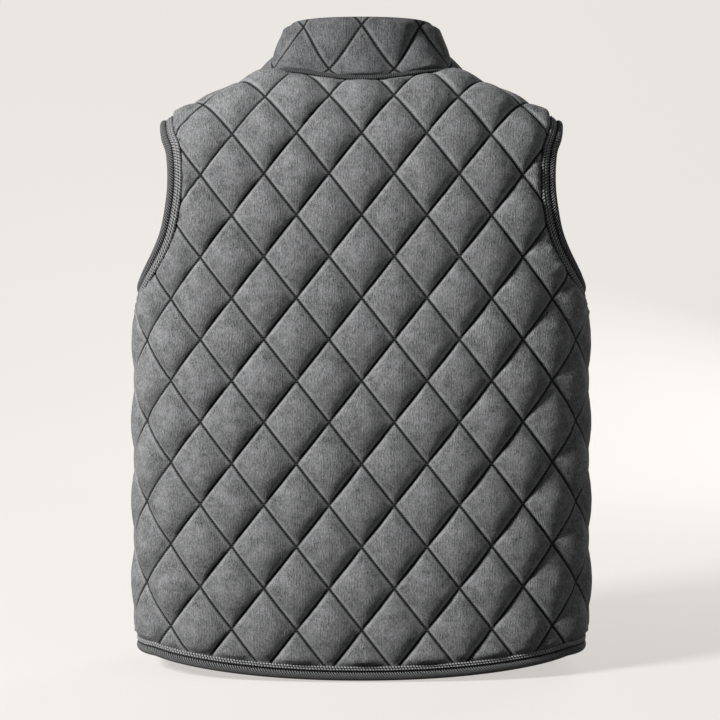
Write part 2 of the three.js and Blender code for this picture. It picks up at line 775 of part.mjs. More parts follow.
// Side view of the slider and its bridge: first number up the zip, second out.
function plate(points, hole, width) {
  const shape = new THREE.Shape(points.map(([u, n]) => new THREE.Vector2(u, n)));
  if (hole) shape.holes.push(new THREE.Path(hole.map(([u, n]) => new THREE.Vector2(u, n))));
  const made = new THREE.ExtrudeGeometry(shape, { depth: width, bevelEnabled: false });
  return made.translate(0, 0, -width / 2);
}
const slot = { low: -1.9, high: 2.1 };
const sliderSide = [
  [SLIDER.bottom, slot.high],
  [SLIDER.bottom + 1, SLIDER.front],
  [SLIDER.top - 1, SLIDER.front],
  [SLIDER.top, slot.high],
  [SLIDER.top, slot.low],
  [SLIDER.top - 1, SLIDER.back],
  [SLIDER.bottom + 1, SLIDER.back],
  [SLIDER.bottom, slot.low],
  [SLIDER.top - SLIDER.post, slot.low],
  [SLIDER.top - SLIDER.post, slot.high],
];
const bridgeSide = [
  [BRIDGE.bottom, SLIDER.front - 0.5],
  [BRIDGE.top, SLIDER.front - 0.5],
  [BRIDGE.top, BRIDGE.height - 1.2],
  [BRIDGE.top - 1.4, BRIDGE.height],
  [BRIDGE.bottom + 1.4, BRIDGE.height],
  [BRIDGE.bottom, BRIDGE.height - 1.2],
];
const bridgeHole = [
  [BRIDGE.bottom + BRIDGE.bar, SLIDER.front + 0.1],
  [BRIDGE.top - BRIDGE.bar, SLIDER.front + 0.1],
  [BRIDGE.top - BRIDGE.bar, BRIDGE.height - BRIDGE.bar - 0.4],
  [BRIDGE.bottom + BRIDGE.bar, BRIDGE.height - BRIDGE.bar - 0.4],
];
const sliderSolid = toSolid(plate(sliderSide, null, SLIDER.width)).add(
  toSolid(plate(bridgeSide, bridgeHole, BRIDGE.width)),
);

// Pull tab: a flat tab with an eye at its top, which the bridge passes through.
const tab = [
  [PULL.bar / 2, -PULL.width / 2],
  [PULL.bar / 2, PULL.width / 2],
  [-8.2, PULL.width / 2],
  [-10.5, PULL.width / 2 - 0.7],
  [-PULL.length + 2, PULL.width / 2],
  [-PULL.length, PULL.width / 2 - 1.4],
  [-PULL.length, -PULL.width / 2 + 1.4],
  [-PULL.length + 2, -PULL.width / 2],
  [-10.5, -PULL.width / 2 + 0.7],
  [-8.2, -PULL.width / 2],
];
const tabEye = [
  [-PULL.bar / 2, -PULL.eye],
  [-7, -PULL.eye],
  [-7, PULL.eye],
  [-PULL.bar / 2, PULL.eye],
];
const pullGeometry = plate(tab, tabEye, PULL.thick);

const seat = zipStation("collar", SLIDER_AT);
function metal(name, made, toWorld) {
  const mesh = made.getMesh();
  const xyz = [];
  for (let i = 0; i < mesh.numVert; i++) {
    const first = i * mesh.numProp;
    const at = toWorld(...mesh.vertProperties.slice(first, first + 3));
    xyz.push(at.x, at.y, at.z);
  }
  return facingOut(name, xyz, [...mesh.triVerts], 0x9a9a9c);
}
const onSeat = (u, n, x) =>
  seat.place
    .clone()
    .addScaledVector(seat.way, u)
    .addScaledVector(seat.y, n)
    .addScaledVector(seat.x, x);
vest.add(metal("zip_slider", sliderSolid, (u, n, x) => onSeat(u, n, x)));
const pinUp = BRIDGE.bottom + BRIDGE.bar + 1.2;
vest.add(metal("zip_pull", toSolid(pullGeometry), (u, x, n) => onSeat(u + pinUp, n + PULL.pin, x)));

export default vest;
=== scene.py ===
import math
import bpy
import numpy as np
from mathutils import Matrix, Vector


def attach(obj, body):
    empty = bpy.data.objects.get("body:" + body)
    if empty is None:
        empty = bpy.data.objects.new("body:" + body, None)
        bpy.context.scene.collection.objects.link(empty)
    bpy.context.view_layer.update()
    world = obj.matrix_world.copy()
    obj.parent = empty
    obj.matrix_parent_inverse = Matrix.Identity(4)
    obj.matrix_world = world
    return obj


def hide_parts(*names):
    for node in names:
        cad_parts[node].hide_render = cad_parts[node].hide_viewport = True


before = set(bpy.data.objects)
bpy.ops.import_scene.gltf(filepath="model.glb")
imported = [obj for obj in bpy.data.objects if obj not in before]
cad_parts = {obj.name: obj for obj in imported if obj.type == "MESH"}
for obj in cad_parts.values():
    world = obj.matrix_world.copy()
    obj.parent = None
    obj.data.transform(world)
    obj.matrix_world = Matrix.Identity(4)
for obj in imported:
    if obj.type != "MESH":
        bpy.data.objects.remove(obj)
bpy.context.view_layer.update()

# The form the cloth takes
# One level section round the chest and the way each column of cloth turns in over
# the shoulder. Every piece of cloth is laid out flat first, as distance round from
# the middle and height up the cloth, and this carries it onto the filled-out form.
HALF_WIDTH = 0.2385
BACK_DEPTH = 0.104
FRONT_DEPTH = 0.112
SQUARENESS = 3.0
TURN_IN_HEIGHT = -0.200
SHOULDER_SLOPE = 0.515
SLOPE_START = 0.090
SLOPE_BLEND = 0.040
NECK_POINT_HEIGHT = 0.0065
COLUMNS = 486
TURN_STEPS = 60


def level_quarter(depth):
    t = np.linspace(0.0, np.pi / 2, 241)
    x = HALF_WIDTH * np.sin(t) ** (2 / SQUARENESS)
    share = np.clip(np.cos(t), 0, 1) ** (2 / SQUARENESS)
    steps = np.hypot(np.diff(x), depth * np.diff(share))
    return x, share, np.concatenate([[0.0], np.cumsum(steps)])


def shoulder_height(x):
    past = np.abs(x) - SLOPE_START
    return NECK_POINT_HEIGHT - SHOULDER_SLOPE * (past + np.hypot(past, SLOPE_BLEND)) / 2


class Side:
    """The back or the front: its section and its columns over the shoulder."""

    def __init__(self, depth, facing):
        self.depth = depth
        self.facing = facing
        self.x, self.share, self.round = level_quarter(depth)
        self.seam = self.round[-1]
        columns = np.linspace(0.0, HALF_WIDTH, COLUMNS + 1)
        deep = depth * np.interp(columns, self.x, self.share)
        rise = shoulder_height(columns) - TURN_IN_HEIGHT
        t = np.linspace(0.0, np.pi / 2, TURN_STEPS + 1)
        self.y = deep[:, None] * np.clip(np.cos(t), 0, 1) ** (2 / SQUARENESS)
        self.z = TURN_IN_HEIGHT + rise[:, None] * np.sin(t) ** (2 / SQUARENESS)
        steps = np.hypot(np.diff(self.y), np.diff(self.z))
        self.along = np.hstack([np.zeros((len(columns), 1)), np.cumsum(steps, axis=1)])

    def column(self, which, along):
        """Depth and height a distance up some columns of cloth."""
        a = self.along[which]
        k = np.clip((a <= along[:, None]).sum(1) - 1, 0, TURN_STEPS - 1)
        i = np.arange(len(which))
        t = (along - a[i, k]) / (a[i, k + 1] - a[i, k])
        y = self.y[which, k] + t * (self.y[which, k + 1] - self.y[which, k])
        z = self.z[which, k] + t * (self.z[which, k + 1] - self.z[which, k])
        past = along > a[:, -1]
        y = np.where(past, a[:, -1] - along, y)
        return y, np.where(past, self.z[which, -1], z)

    def place(self, rnd, up):
        """Where flat points, round from the middle and up the cloth, come to lie."""
        rnd = np.asarray(rnd, float)
        up = np.asarray(up, float)
        away = np.abs(rnd)
        x = np.interp(away, self.round, self.x)
        share = np.interp(away, self.round, self.share)
        share = np.where(away > self.seam, (self.seam - away) / self.depth, share)
        y = self.depth * share
        z = up.copy()
        high = (up > TURN_IN_HEIGHT) & (share > 0)
        if high.any():
            at = x[high] / HALF_WIDTH * COLUMNS
            low = np.clip(np.floor(at).astype(int), 0, COLUMNS - 1)
            f = at - low
            along = up[high] - TURN_IN_HEIGHT
            y0, z0 = self.column(low, along)
            y1, z1 = self.column(low + 1, along)
            y[high] = y0 + f * (y1 - y0)
            z[high] = z0 + f * (z1 - z0)
        return np.stack([np.sign(rnd) * x, self.facing * y, z], axis=-1)

    def seam_up(self, rnd):
        """Where the shoulder seam crosses each column, up the cloth."""
        x = np.interp(np.minimum(np.abs(rnd), self.seam), self.round, self.x)
        ends = self.along[:, -1]
        return TURN_IN_HEIGHT + np.interp(x, np.linspace(0, HALF_WIDTH, COLUMNS + 1), ends)

    def up_of(self, x, level=None, deep=None):
        """Way up the cloth to a level or to a depth on the column at x."""
        c = int(round(x / HALF_WIDTH * COLUMNS))
        if level is not None and level <= TURN_IN_HEIGHT:
            return level
        if level is not None:
            return TURN_IN_HEIGHT + np.interp(level, self.z[c], self.along[c])
        return TURN_IN_HEIGHT + np.interp(-deep, -self.y[c], self.along[c])


def unit(ways):
    """The same ways, each made one long."""
    return ways / np.linalg.norm(ways, axis=-1, keepdims=True)


def run_along(line):
    """Distance along a line to each of its points."""
    return np.concatenate([[0], np.cumsum(np.linalg.norm(np.diff(line, axis=0), axis=1))])


def outward(place, rnd, up, facing):
    """Place and unit way out of the cloth, at flat points."""
    e = 0.0005
    across = place(rnd + e, up) - place(rnd - e, up)
    upward = place(rnd, up + e) - place(rnd, up - e)
    return place(rnd, up), unit(facing * np.cross(across, upward))


BACK = Side(BACK_DEPTH, 1)
FRONT = Side(FRONT_DEPTH, -1)

# The cut of the back and fronts
# One back and a pair of fronts, cut flat and sewn at the shoulders and down the sides.
# Armholes, neck and hem are the maker's cut lines, in metres from the neck's height.
HEM_CENTRE = -0.6396
HEM_RISE = 0.018
HEM_FLAT_HALF = 0.222
FRONT_EDGE = 0.005
UNDERARM = -0.241
SHOULDER_TIP = 0.214
armhole_tables = {
    "back": [
        (0.211, -0.070), (0.202, -0.094), (0.199, -0.116), (0.199, -0.138),
        (0.202, -0.160), (0.207, -0.182), (0.2165, -0.203), (0.228, -0.222),
        (0.236, -0.235),
    ],
    "front": [
        (0.209, -0.070), (0.194, -0.094), (0.187, -0.116), (0.185, -0.140),
        (0.188, -0.164), (0.196, -0.188), (0.210, -0.208), (0.224, -0.227),
        (0.235, -0.238),
    ],
}
neck_depths = {"back": 0.070, "front": 0.104}
NECK_WIDTH = 0.112


def smooth_line(points, count):
    """A smooth curve through points, as count + 1 places along it."""
    p = np.array([points[0], *points, points[-1]])
    u = np.linspace(0, len(points) - 1, count + 1)
    i = np.minimum(np.floor(u).astype(int), len(points) - 2)
    t = (u - i)[:, None]
    p0, p1, p2, p3 = p[i], p[i + 1], p[i + 2], p[i + 3]
    a, b = (p2 - p0) / 2, (p3 - p1) / 2
    return (2 * p1 - 2 * p2 + a + b) * t**3 + (3 * p2 - 3 * p1 - 2 * a - b) * t**2 + a * t + p1


def neck_point(side, turn):
    """Flat place on the neck's cut line, a turn round from the middle."""
    x = NECK_WIDTH * math.sin(turn)
    rnd = np.interp(x, side.x, side.round)
    if turn > np.pi / 2 - 1e-6:
        return rnd, float(side.seam_up(rnd))
    depth = neck_depths["back" if side is BACK else "front"]
    return rnd, side.up_of(x, deep=depth * math.cos(turn))


def inside_of(line, first, last):
    """How far inside a cut line flat points are; less than nought is cut away."""
    pts = np.vstack([line[0] + first, line, line[-1] + last])
    a, along = pts[:-1], np.diff(pts, axis=0)
    lengths = np.linalg.norm(along, axis=1)
    runs = np.concatenate([[0], np.cumsum(lengths)[:-1]])

    def measure(rnd, up, placed=False):
        p = np.stack([np.abs(rnd), up], axis=-1)
        result = np.empty(len(p))
        place = np.empty(len(p))
        for start in range(0, len(p), 8000):
            to = p[start:start + 8000, None, :] - a[None]
            t = np.clip((to * along).sum(-1) / (along**2).sum(-1), 0, 1)
            gap = np.linalg.norm(to - t[..., None] * along, axis=-1)
            best = gap.argmin(1)
            i = np.arange(len(best))
            cross = along[best, 0] * to[i, best, 1] - along[best, 1] * to[i, best, 0]
            result[start:start + 8000] = -np.where(cross < 0, -1, 1) * gap[i, best]
            place[start:start + 8000] = runs[best] + t[i, best] * lengths[best]
        return (result, place) if placed else result

    return measure


for side, name in ((BACK, "back"), (FRONT, "front")):
    tip = np.interp(SHOULDER_TIP, side.x, side.round)
    flat = [(tip, float(side.seam_up(tip)))]
    for x, z in armhole_tables[name]:
        flat.append((np.interp(x, side.x, side.round), side.up_of(x, level=z)))
    flat.append((side.seam, UNDERARM))
    side.armhole = smooth_line(flat, 90)
    side.in_armhole = inside_of(side.armhole, (0, 0.2), (0.2, 0))
    side.neck = np.array([neck_point(side, turn) for turn in np.linspace(0, np.pi / 2, 61)])
    side.in_neck = inside_of(side.neck, (-0.2, 0), (0, 0.2))


def hem_up(rnd):
    return HEM_CENTRE + HEM_RISE * np.minimum(1, np.abs(rnd) / HEM_FLAT_HALF) ** 2


# Quilted cloth
# Fine-wale corduroy sewn through soft wadding in diamonds. The net of points lies
# on the sewing lines; the padding swells between them and puckers beside the thread.
HALF_DIAMOND = (0.0335, 0.04265)
LINE_SPACING = 0.0527
NET_STEPS = 12
BODY_CROSSING = -0.336
EDGE = 0.0024
STITCHED = 0.0022
PUFFED = 0.0122
ROUNDING = 0.58
UNEVEN = 0.10
THINNEST = 0.0018
RIPPLE = 0.00055
RIPPLE_PITCH = 0.0075
RIPPLE_REACH = 0.007
LUMP = 0.00035
LUMP_SIZE = 0.022
PUCKER = 0.0015
PUCKER_START = 0.0145
PULLED_TIGHT = 0.62
PULL_REACH = 0.048
PULLED_LEVEL = 0.86
# Width pressed flat along each kind of edge, then the width over which the padding rises.
edge_widths = {
    "bound": (0.0143, 0.008),
    "hem": (0.0104, 0.007),
    "seam": (0.0, 0.011),
    "shoulder": (0.0, 0.055),
    "neck": (0.0055, 0.008),
    "foot": (0.0010, 0.007),
    "zip": (0.001, 0.013),
    "top": (0.0, 0.010),
}


def wobble(x, y, seed):
    """Smooth uneven value between about -1 and 1, the same on every run."""
    rng = np.random.default_rng(seed)
    total = np.zeros(np.shape(x))
    for k in range(7):
        way = rng.uniform(0, 2 * np.pi)
        pitch = rng.uniform(0.6, 1.6)
        shift = rng.uniform(0, 2 * np.pi)
        total += np.sin(2 * np.pi * (x * np.cos(way) + y * np.sin(way)) / pitch + shift)
    return total / 3.2


def puckers(rnd, up, measure):
    """Creases that run in from a binding, where it gathers the padded cloth."""
    deep, along = measure(rnd, up, placed=True)
    side = np.where(rnd < 0, 37.0, 0.0)
    fade = np.exp(-np.maximum(deep - 0.016, 0) / 0.011)
    fade *= np.clip((deep - PUCKER_START) / 0.004, 0, 1)
    return PUCKER * fade * wobble(along / 0.0105 + side, deep / 0.045, 21)


def padding(rnd, up, crossing, full, edges):
    """Thickness of the quilted cloth at flat points."""
    v = (up - crossing) / HALF_DIAMOND[1]
    u = rnd / HALF_DIAMOND[0]
    a = (u + v) / 2
    b = (u - v) / 2
    off_a = np.abs(a - np.round(a))
    off_b = np.abs(b - np.round(b))
    swell_a = 1 - (1 - 2 * off_a) ** 2.0
    swell_b = 1 - (1 - 2 * off_b) ** 2.0
    fullness = 1 + UNEVEN * wobble(np.floor(a) * 3.7, np.floor(b) * 3.7, 5)
    height = (full - STITCHED) * fullness * (swell_a * swell_b) ** ROUNDING
    # The lower part of each diamond carries a little more of the wadding.
    tip = np.mod(a, 1) - np.mod(b, 1)
    height *= 1 - UNEVEN * tip
    # Fine ripples beside the thread, and soft lumps in the wadding.
    near_a = np.exp(-off_a * LINE_SPACING / RIPPLE_REACH) * np.minimum(1, off_a * 25)
    near_b = np.exp(-off_b * LINE_SPACING / RIPPLE_REACH) * np.minimum(1, off_b * 25)
    ripple_a = wobble(b * LINE_SPACING / RIPPLE_PITCH, a * 1.3, 11)
    ripple_b = wobble(a * LINE_SPACING / RIPPLE_PITCH, b * 1.3, 12)
    height += RIPPLE * (near_a * ripple_a + near_b * ripple_b)
    height += LUMP * wobble(rnd / LUMP_SIZE, up / LUMP_SIZE, 13) * swell_a * swell_b
    # Down the sides the wadding is pulled tight, so the sewn lines sink in less.
    for measure, kind in edges:
        if kind in ("seam", "shoulder"):
            tight = PULLED_TIGHT * np.exp(-((measure(rnd, up) / PULL_REACH) ** 2))
            height += tight * (PULLED_LEVEL * (full - STITCHED) - height)
    level = STITCHED + height
    for measure, kind in edges:
        flat, rise = edge_widths[kind]
        t = np.clip((measure(rnd, up) - flat) / rise, 0, 1)
        if kind in ("bound", "hem", "neck", "foot"):
            t = np.sin(0.5 * np.pi * t)
        else:
            t = t * t * (3 - 2 * t)
        if kind == "shoulder":
            t = 0.4 + 0.6 * t
        level = EDGE + (level - EDGE) * t
    for measure, kind in edges:
        if kind == "bound":
            level = level + puckers(rnd, up, measure)
    return np.maximum(level, THINNEST)


def quilt_net(left, right, bottom, top, crossing, edges):
    """Flat net on the sewing lines, cut to its edges."""
    wide = HALF_DIAMOND[0] / NET_STEPS
    high = HALF_DIAMOND[1] / NET_STEPS
    i = np.arange(math.floor(left / wide), math.ceil(right / wide) + 1)
    j = np.arange(math.floor((bottom - crossing) / high), math.ceil((top - crossing) / high) + 1)
    ii, jj = np.meshgrid(i, j)
    rnd = (ii * wide).ravel()
    up = (crossing + jj * high).ravel()
    inside = np.min([measure(rnd, up) for measure, _ in edges], axis=0)
    n = len(i)
    c = (np.arange(len(j) - 1)[:, None] * n + np.arange(n - 1)[None]).ravel()
    cells = np.stack([c, c + 1, c + n + 1, c + n], axis=1)
    cells = cells[inside[cells].mean(1) > 0]
    block = ii.ravel()[cells[:, 0]] // NET_STEPS + jj.ravel()[cells[:, 0]] // NET_STEPS
    even = block % 2 == 0
    a, b, c, d = cells.T
    first = np.where(even[:, None], np.stack([a, b, c], 1), np.stack([a, b, d], 1))
    second = np.where(even[:, None], np.stack([a, c, d], 1), np.stack([b, c, d], 1))
    faces = np.vstack([first, second])
    used, index = np.unique(faces, return_inverse=True)
    faces = index.reshape(faces.shape)
    rnd, up = rnd[used], up[used]
    rim = rim_of(faces)
    on_rim = np.unique(rim)
    # Points on the rim slide onto the nearest cut edge, corners onto two.
    for _ in range(6):
        x, y = rnd[on_rim], up[on_rim]
        values = np.array([measure(x, y) for measure, _ in edges])
        for k, (measure, _) in enumerate(edges):
            value = measure(rnd[on_rim], up[on_rim])
            close = (values[k] < 0.6 * high) | (values[k] <= values.min(0) + 1e-9)
            e = 1e-5
            x, y = rnd[on_rim], up[on_rim]
            gx = (measure(x + e, y) - measure(x - e, y)) / (2 * e)
            gy = (measure(x, y + e) - measure(x, y - e)) / (2 * e)
            g2 = np.maximum(gx * gx + gy * gy, 1e-6)
            rnd[on_rim] -= np.where(close, value * gx / g2, 0)
            up[on_rim] -= np.where(close, value * gy / g2, 0)
    return rnd, up, faces, rim


def rim_of(faces):
    """Directed edges that only one face has."""
    e = np.vstack([faces[:, [0, 1]], faces[:, [1, 2]], faces[:, [2, 0]]])
    big = int(faces.max()) + 1
    key = e[:, 0].astype(np.int64) * big + e[:, 1]
    back = e[:, 1].astype(np.int64) * big + e[:, 0]
    return e[~np.isin(key, back)]


def make_object(name, points, faces, cloth=None, smooth=True):
    mesh = bpy.data.meshes.new(name)
    mesh.from_pydata(np.asarray(points).tolist(), [], [list(map(int, f)) for f in faces])
    mesh.validate()
    if cloth is not None:
        layer = mesh.attributes.new("cloth", "FLOAT_VECTOR", "POINT")
        layer.data.foreach_set("vector", np.asarray(cloth, dtype=np.float32).ravel())
    mesh.polygons.foreach_set("use_smooth", [smooth] * len(mesh.polygons))
    obj = bpy.data.objects.new(name, mesh)
    bpy.context.scene.collection.objects.link(obj)
    return obj


def quilted_shell(name, place, facing, net, thickness):
    """Closed wall: plain inside face, padded outside face and the rim between."""
    rnd, up, faces, rim = net
    at, out = outward(place, rnd, up, facing)
    level = thickness(rnd, up)
    outer = at + out * level[:, None]
    n = len(rnd)
    if facing < 0:
        faces = faces[:, [0, 2, 1]]
        rim = rim[:, [1, 0]]
    around = np.vstack([
        np.stack([rim[:, 1], rim[:, 0], rim[:, 0] + n], 1),
        np.stack([rim[:, 1], rim[:, 0] + n, rim[:, 1] + n], 1),
    ])
    everything = np.vstack([faces, faces[:, [0, 2, 1]] + n, around])
    inner_cloth = np.stack([rnd, up, np.zeros(n)], 1)
    outer_cloth = np.stack([rnd, up, level], 1)
    points = np.vstack([outer, at])
    return make_object(name, points, everything, np.vstack([outer_cloth, inner_cloth]))


# Finish of the quilted cloth
# Mid-grey cotton needlecord with its nap brushed upright: fine wales run up the
# cloth, the pile catches light at grazing angles and is made lighter on the crowns.
WALE = 0.00155
# A noise's scale is one over its grain in metres: the tufts and the nap are about 1 mm,
# breaks in a wale 4 mm, brushed patches 13 mm, and wales drift over 36 mm.
# Radians per metre up the cloth: one beat for each stitch, which climbs 2.4 mm.
STITCH_BEAT = 2580.0


def colour_of(hex_code):
    """Linear colour of an sRGB hex code."""
    parts = [int(hex_code[k:k + 2], 16) / 255 for k in (1, 3, 5)]
    linear = [c / 12.92 if c <= 0.04045 else ((c + 0.055) / 1.055) ** 2.4 for c in parts]
    return (*linear, 1.0)


def add_node(material, kind, settings=None, links=None):
    """Adds a node with its settings and input links, and returns it."""
    node = material.node_tree.nodes.new(kind)
    for key, value in (settings or {}).items():
        if isinstance(key, str) and hasattr(node, key):
            setattr(node, key, value)
        else:
            node.inputs[key].default_value = value
    for key, socket in (links or {}).items():
        material.node_tree.links.new(socket, node.inputs[key])
    return node


def new_material(name, values):
    """A material and its surface, with these values on the surface's inputs."""
    material = bpy.data.materials.new(name)
    material.use_nodes = True
    surface = material.node_tree.nodes["Principled BSDF"]
    for key, value in values.items():
        surface.inputs[key].default_value = value
    return material, surface


def maths(material, operation, a, b=None):
    """One sum on sockets or numbers; returns its result."""
    node = add_node(material, "ShaderNodeMath", {"operation": operation})
    for k, value in enumerate([a] if b is None else [a, b]):
        if isinstance(value, (int, float)):
            node.inputs[k].default_value = value
        else:
            material.node_tree.links.new(value, node.inputs[k])
    return node.outputs[0]


def blend_of(material, shares):
    """Sum of sockets, each by its share."""
    total = None
    for socket, share in shares:
        part = maths(material, "MULTIPLY", socket, share)
        total = part if total is None else maths(material, "ADD", total, part)
    return total


def noise(material, where, scale, detail, roughness=0.5):
    return add_node(
        material, "ShaderNodeTexNoise", {"Scale": scale, "Detail": detail, "Roughness": roughness},
        {"Vector": where},
    ).outputs[0]


def ranged(material, value, low, high, at_low=0.0, at_high=1.0, kind="LINEAR"):
    """A value carried from one range into another and held at its ends."""
    return add_node(
        material, "ShaderNodeMapRange",
        {"interpolation_type": kind, 1: low, 2: high, 3: at_low, 4: at_high}, {0: value},
    ).outputs[0]


def between(material, dark, light, share):
    """A colour between two greys."""
    return add_node(
        material, "ShaderNodeMix",
        {"data_type": "RGBA", 6: colour_of(dark), 7: colour_of(light)}, {0: share},
    ).outputs[2]


def dress(material, surface, height, strength, distance, colour=None):
    """Gives a surface its relief and, where it isn't plain, its colour."""
    bump = add_node(
        material, "ShaderNodeBump", {"Strength": strength, "Distance": distance}, {"Height": height}
    )
    material.node_tree.links.new(bump.outputs[0], surface.inputs["Normal"])
    if colour is not None:
        material.node_tree.links.new(colour, surface.inputs["Base Color"])


def off_line(material, split, crossing, slant):
    """Distance from the nearest sewing line that slants one way."""
    right = maths(material, "MULTIPLY", split.outputs[0], slant / HALF_DIAMOND[0])
    high = maths(material, "SUBTRACT", split.outputs[1], crossing)
    high = maths(material, "MULTIPLY", high, 1 / HALF_DIAMOND[1])
    line = maths(material, "MULTIPLY", maths(material, "ADD", right, high), 0.5)
    near = maths(material, "SUBTRACT", line, maths(material, "ROUND", line))
    return maths(material, "MULTIPLY", maths(material, "ABSOLUTE", near), LINE_SPACING)


def needlecord(name, dark, light, crossing):
    """Brushed needlecord between two greys, with painted shade along the sewing lines."""
    material, surface = new_material(name, {
        "Roughness": 0.95,
        "Specular IOR Level": 0.12,
        "Sheen Weight": 0.05,
        "Sheen Roughness": 0.55,
        "Sheen Tint": colour_of("#c9c9cb"),
    })
    cloth = add_node(material, "ShaderNodeAttribute", {"attribute_name": "cloth"}).outputs["Vector"]
    split = add_node(material, "ShaderNodeSeparateXYZ", links={0: cloth})
    # Wales drift a little sideways and break up where the pile is brushed flat.
    bent = maths(material, "MULTIPLY", noise(material, cloth, 28.0, 2.0), 0.0030)
    across = maths(material, "ADD", split.outputs[0], bent)
    wave = maths(material, "SINE", maths(material, "MULTIPLY", across, 2 * math.pi / WALE))
    lengthwise = add_node(
        material, "ShaderNodeMapping", {"Scale": (1.0, 0.30, 1.0)}, {"Vector": cloth}
    ).outputs[0]
    broken = noise(material, lengthwise, 240.0, 3.0, 0.6)
    wave = maths(material, "MULTIPLY", wave, ranged(material, broken, 0.42, 0.62, 0.15))
    wale = maths(material, "ADD", maths(material, "MULTIPLY", wave, 0.5), 0.5)
    tufts = noise(material, lengthwise, 950.0, 2.0, 0.8)
    nap = noise(material, cloth, 1300.0, 3.0, 0.7)
    brushed = noise(material, cloth, 75.0, 5.0, 0.62)
    crown = maths(material, "MULTIPLY", maths(material, "SUBTRACT", split.outputs[2], 0.003), 60.0)
    tone = blend_of(
        material, ((brushed, 0.85), (nap, 1.60), (tufts, 1.40), (wale, 0.20), (crown, 0.30))
    )
    close = maths(material, "MINIMUM", off_line(material, split, crossing, 1),
                  off_line(material, split, crossing, -1))
    # Painted highlight: the colour is made lighter beside each sewing line, out to 5.6 mm, for the
    # light that the diamonds' edges catch.
    tone = maths(material, "ADD", tone, ranged(material, close, 0.0016, 0.0056, 0.34, 0.0))
    grey = between(material, dark, light, ranged(material, tone, 1.72, 2.56))
    # Painted shade: the colour is darkened to near black in the channels along the sewing lines,
    # most where the needle went in, for the shade that falls in them.
    steps = maths(material, "SINE", maths(material, "MULTIPLY", split.outputs[1], STITCH_BEAT))
    depth = maths(material, "ADD", maths(material, "MULTIPLY", steps, 0.09), 0.90)
    channel_shade = ranged(material, close, 0.0007, 0.0023, 1.0, 0.0, "SMOOTHSTEP")
    channel_shade = maths(material, "SUBTRACT", 1.0, maths(material, "MULTIPLY", channel_shade, depth))
    shaded = add_node(
        material, "ShaderNodeMix", {"data_type": "RGBA", "blend_type": "MULTIPLY", 0: 1.0},
        {6: grey, 7: channel_shade},
    )
    height = maths(material, "ADD", maths(material, "MULTIPLY", wale, 0.6),
                   maths(material, "MULTIPLY", nap, 0.8))
    height = maths(material, "ADD", height, tufts)
    dress(material, surface, height, 0.9, 0.0008, shaded.outputs[2])
    return material


corduroy = needlecord("needlecord_grey", "#383939", "#9a9b9d", BODY_CROSSING)

# Back and fronts
# Three quilted panels, sewn to each other at the shoulders and down the sides. Each
# is one wall of quilted cloth with its padding, plain on the inside.


def panel_edges(side):
    edges = [
        (lambda r, u: side.seam - 0.00015 - np.abs(r), "seam"),
        (lambda r, u: u - hem_up(r), "hem"),
        (side.in_armhole, "bound"),
        (side.in_neck, "neck"),
        (lambda r, u: (side.seam_up(r) - 0.00015 - u) / math.hypot(1, SHOULDER_SLOPE), "shoulder"),
    ]
    if side is FRONT:
        edges.append((lambda r, u: np.abs(r) - FRONT_EDGE, "zip"))
    return edges


def body_panel(name, side, left, right):
    edges = panel_edges(side)
    top = max(side.neck[:, 1].max(), side.armhole[:, 1].max()) + 0.01
    net = quilt_net(left - 0.004, right + 0.004, HEM_CENTRE - 0.004, top, BODY_CROSSING, edges)

    def thickness(rnd, up):
        return padding(rnd, up, BODY_CROSSING, PUFFED, edges)

    shell = quilted_shell("quilted_" + name, side.place, -side.facing, net, thickness)
    shell.data.materials.append(corduroy)
    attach(shell, "vest")
    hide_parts(name)
    cell = net[2]
    p = np.stack([net[0], net[1]], 1)
    a, b = p[cell[:, 1]] - p[cell[:, 0]], p[cell[:, 2]] - p[cell[:, 0]]
    area = float(np.abs(a[:, 0] * b[:, 1] - a[:, 1] * b[:, 0]).sum() / 2)
    flat = (float(np.ptp(net[0])), float(np.ptp(net[1])))
    return shell, edges, thickness, flat, area


panels = {
    "back": body_panel("back", BACK, -BACK.seam, BACK.seam),
    "front_left": body_panel("front_left", FRONT, FRONT_EDGE, FRONT.seam),
    "front_right": body_panel("front_right", FRONT, -FRONT.seam, -FRONT_EDGE),
}

# Quilting thread
# Lockstitch of polyester thread, three stitches to the centimetre, pulled down into
# the channels between the diamonds. It stops under the binding.
STITCH = 0.0031
STITCH_SHOWN = 0.74
THREAD = 0.00042
# How far inside each kind of edge the stitches stop.
stitch_margins = {
    "bound": 0.013, "hem": 0.0095, "seam": 0.003, "shoulder": 0.003, "neck": 0.004,
    "zip": 0.004, "foot": 0.004, "top": 0.003,
}
# The thread's near-black colour is partly painted shade, standing in for the shade in the channels
# where it lies.
thread_grey, thread_surface = new_material("polyester_thread_grey", {
    "Base Color": colour_of("#161617"),
    "Roughness": 0.8,
    "Specular IOR Level": 0.12,
})
# The ply's twist shows every 0.35 mm, and the thread is matt where it lies in its channel.
twist = add_node(thread_grey, "ShaderNodeTexWave", {"Scale": 900.0, "Distortion": 0.0})
dress(thread_grey, thread_surface, twist.outputs[1], 0.4, 0.0002)


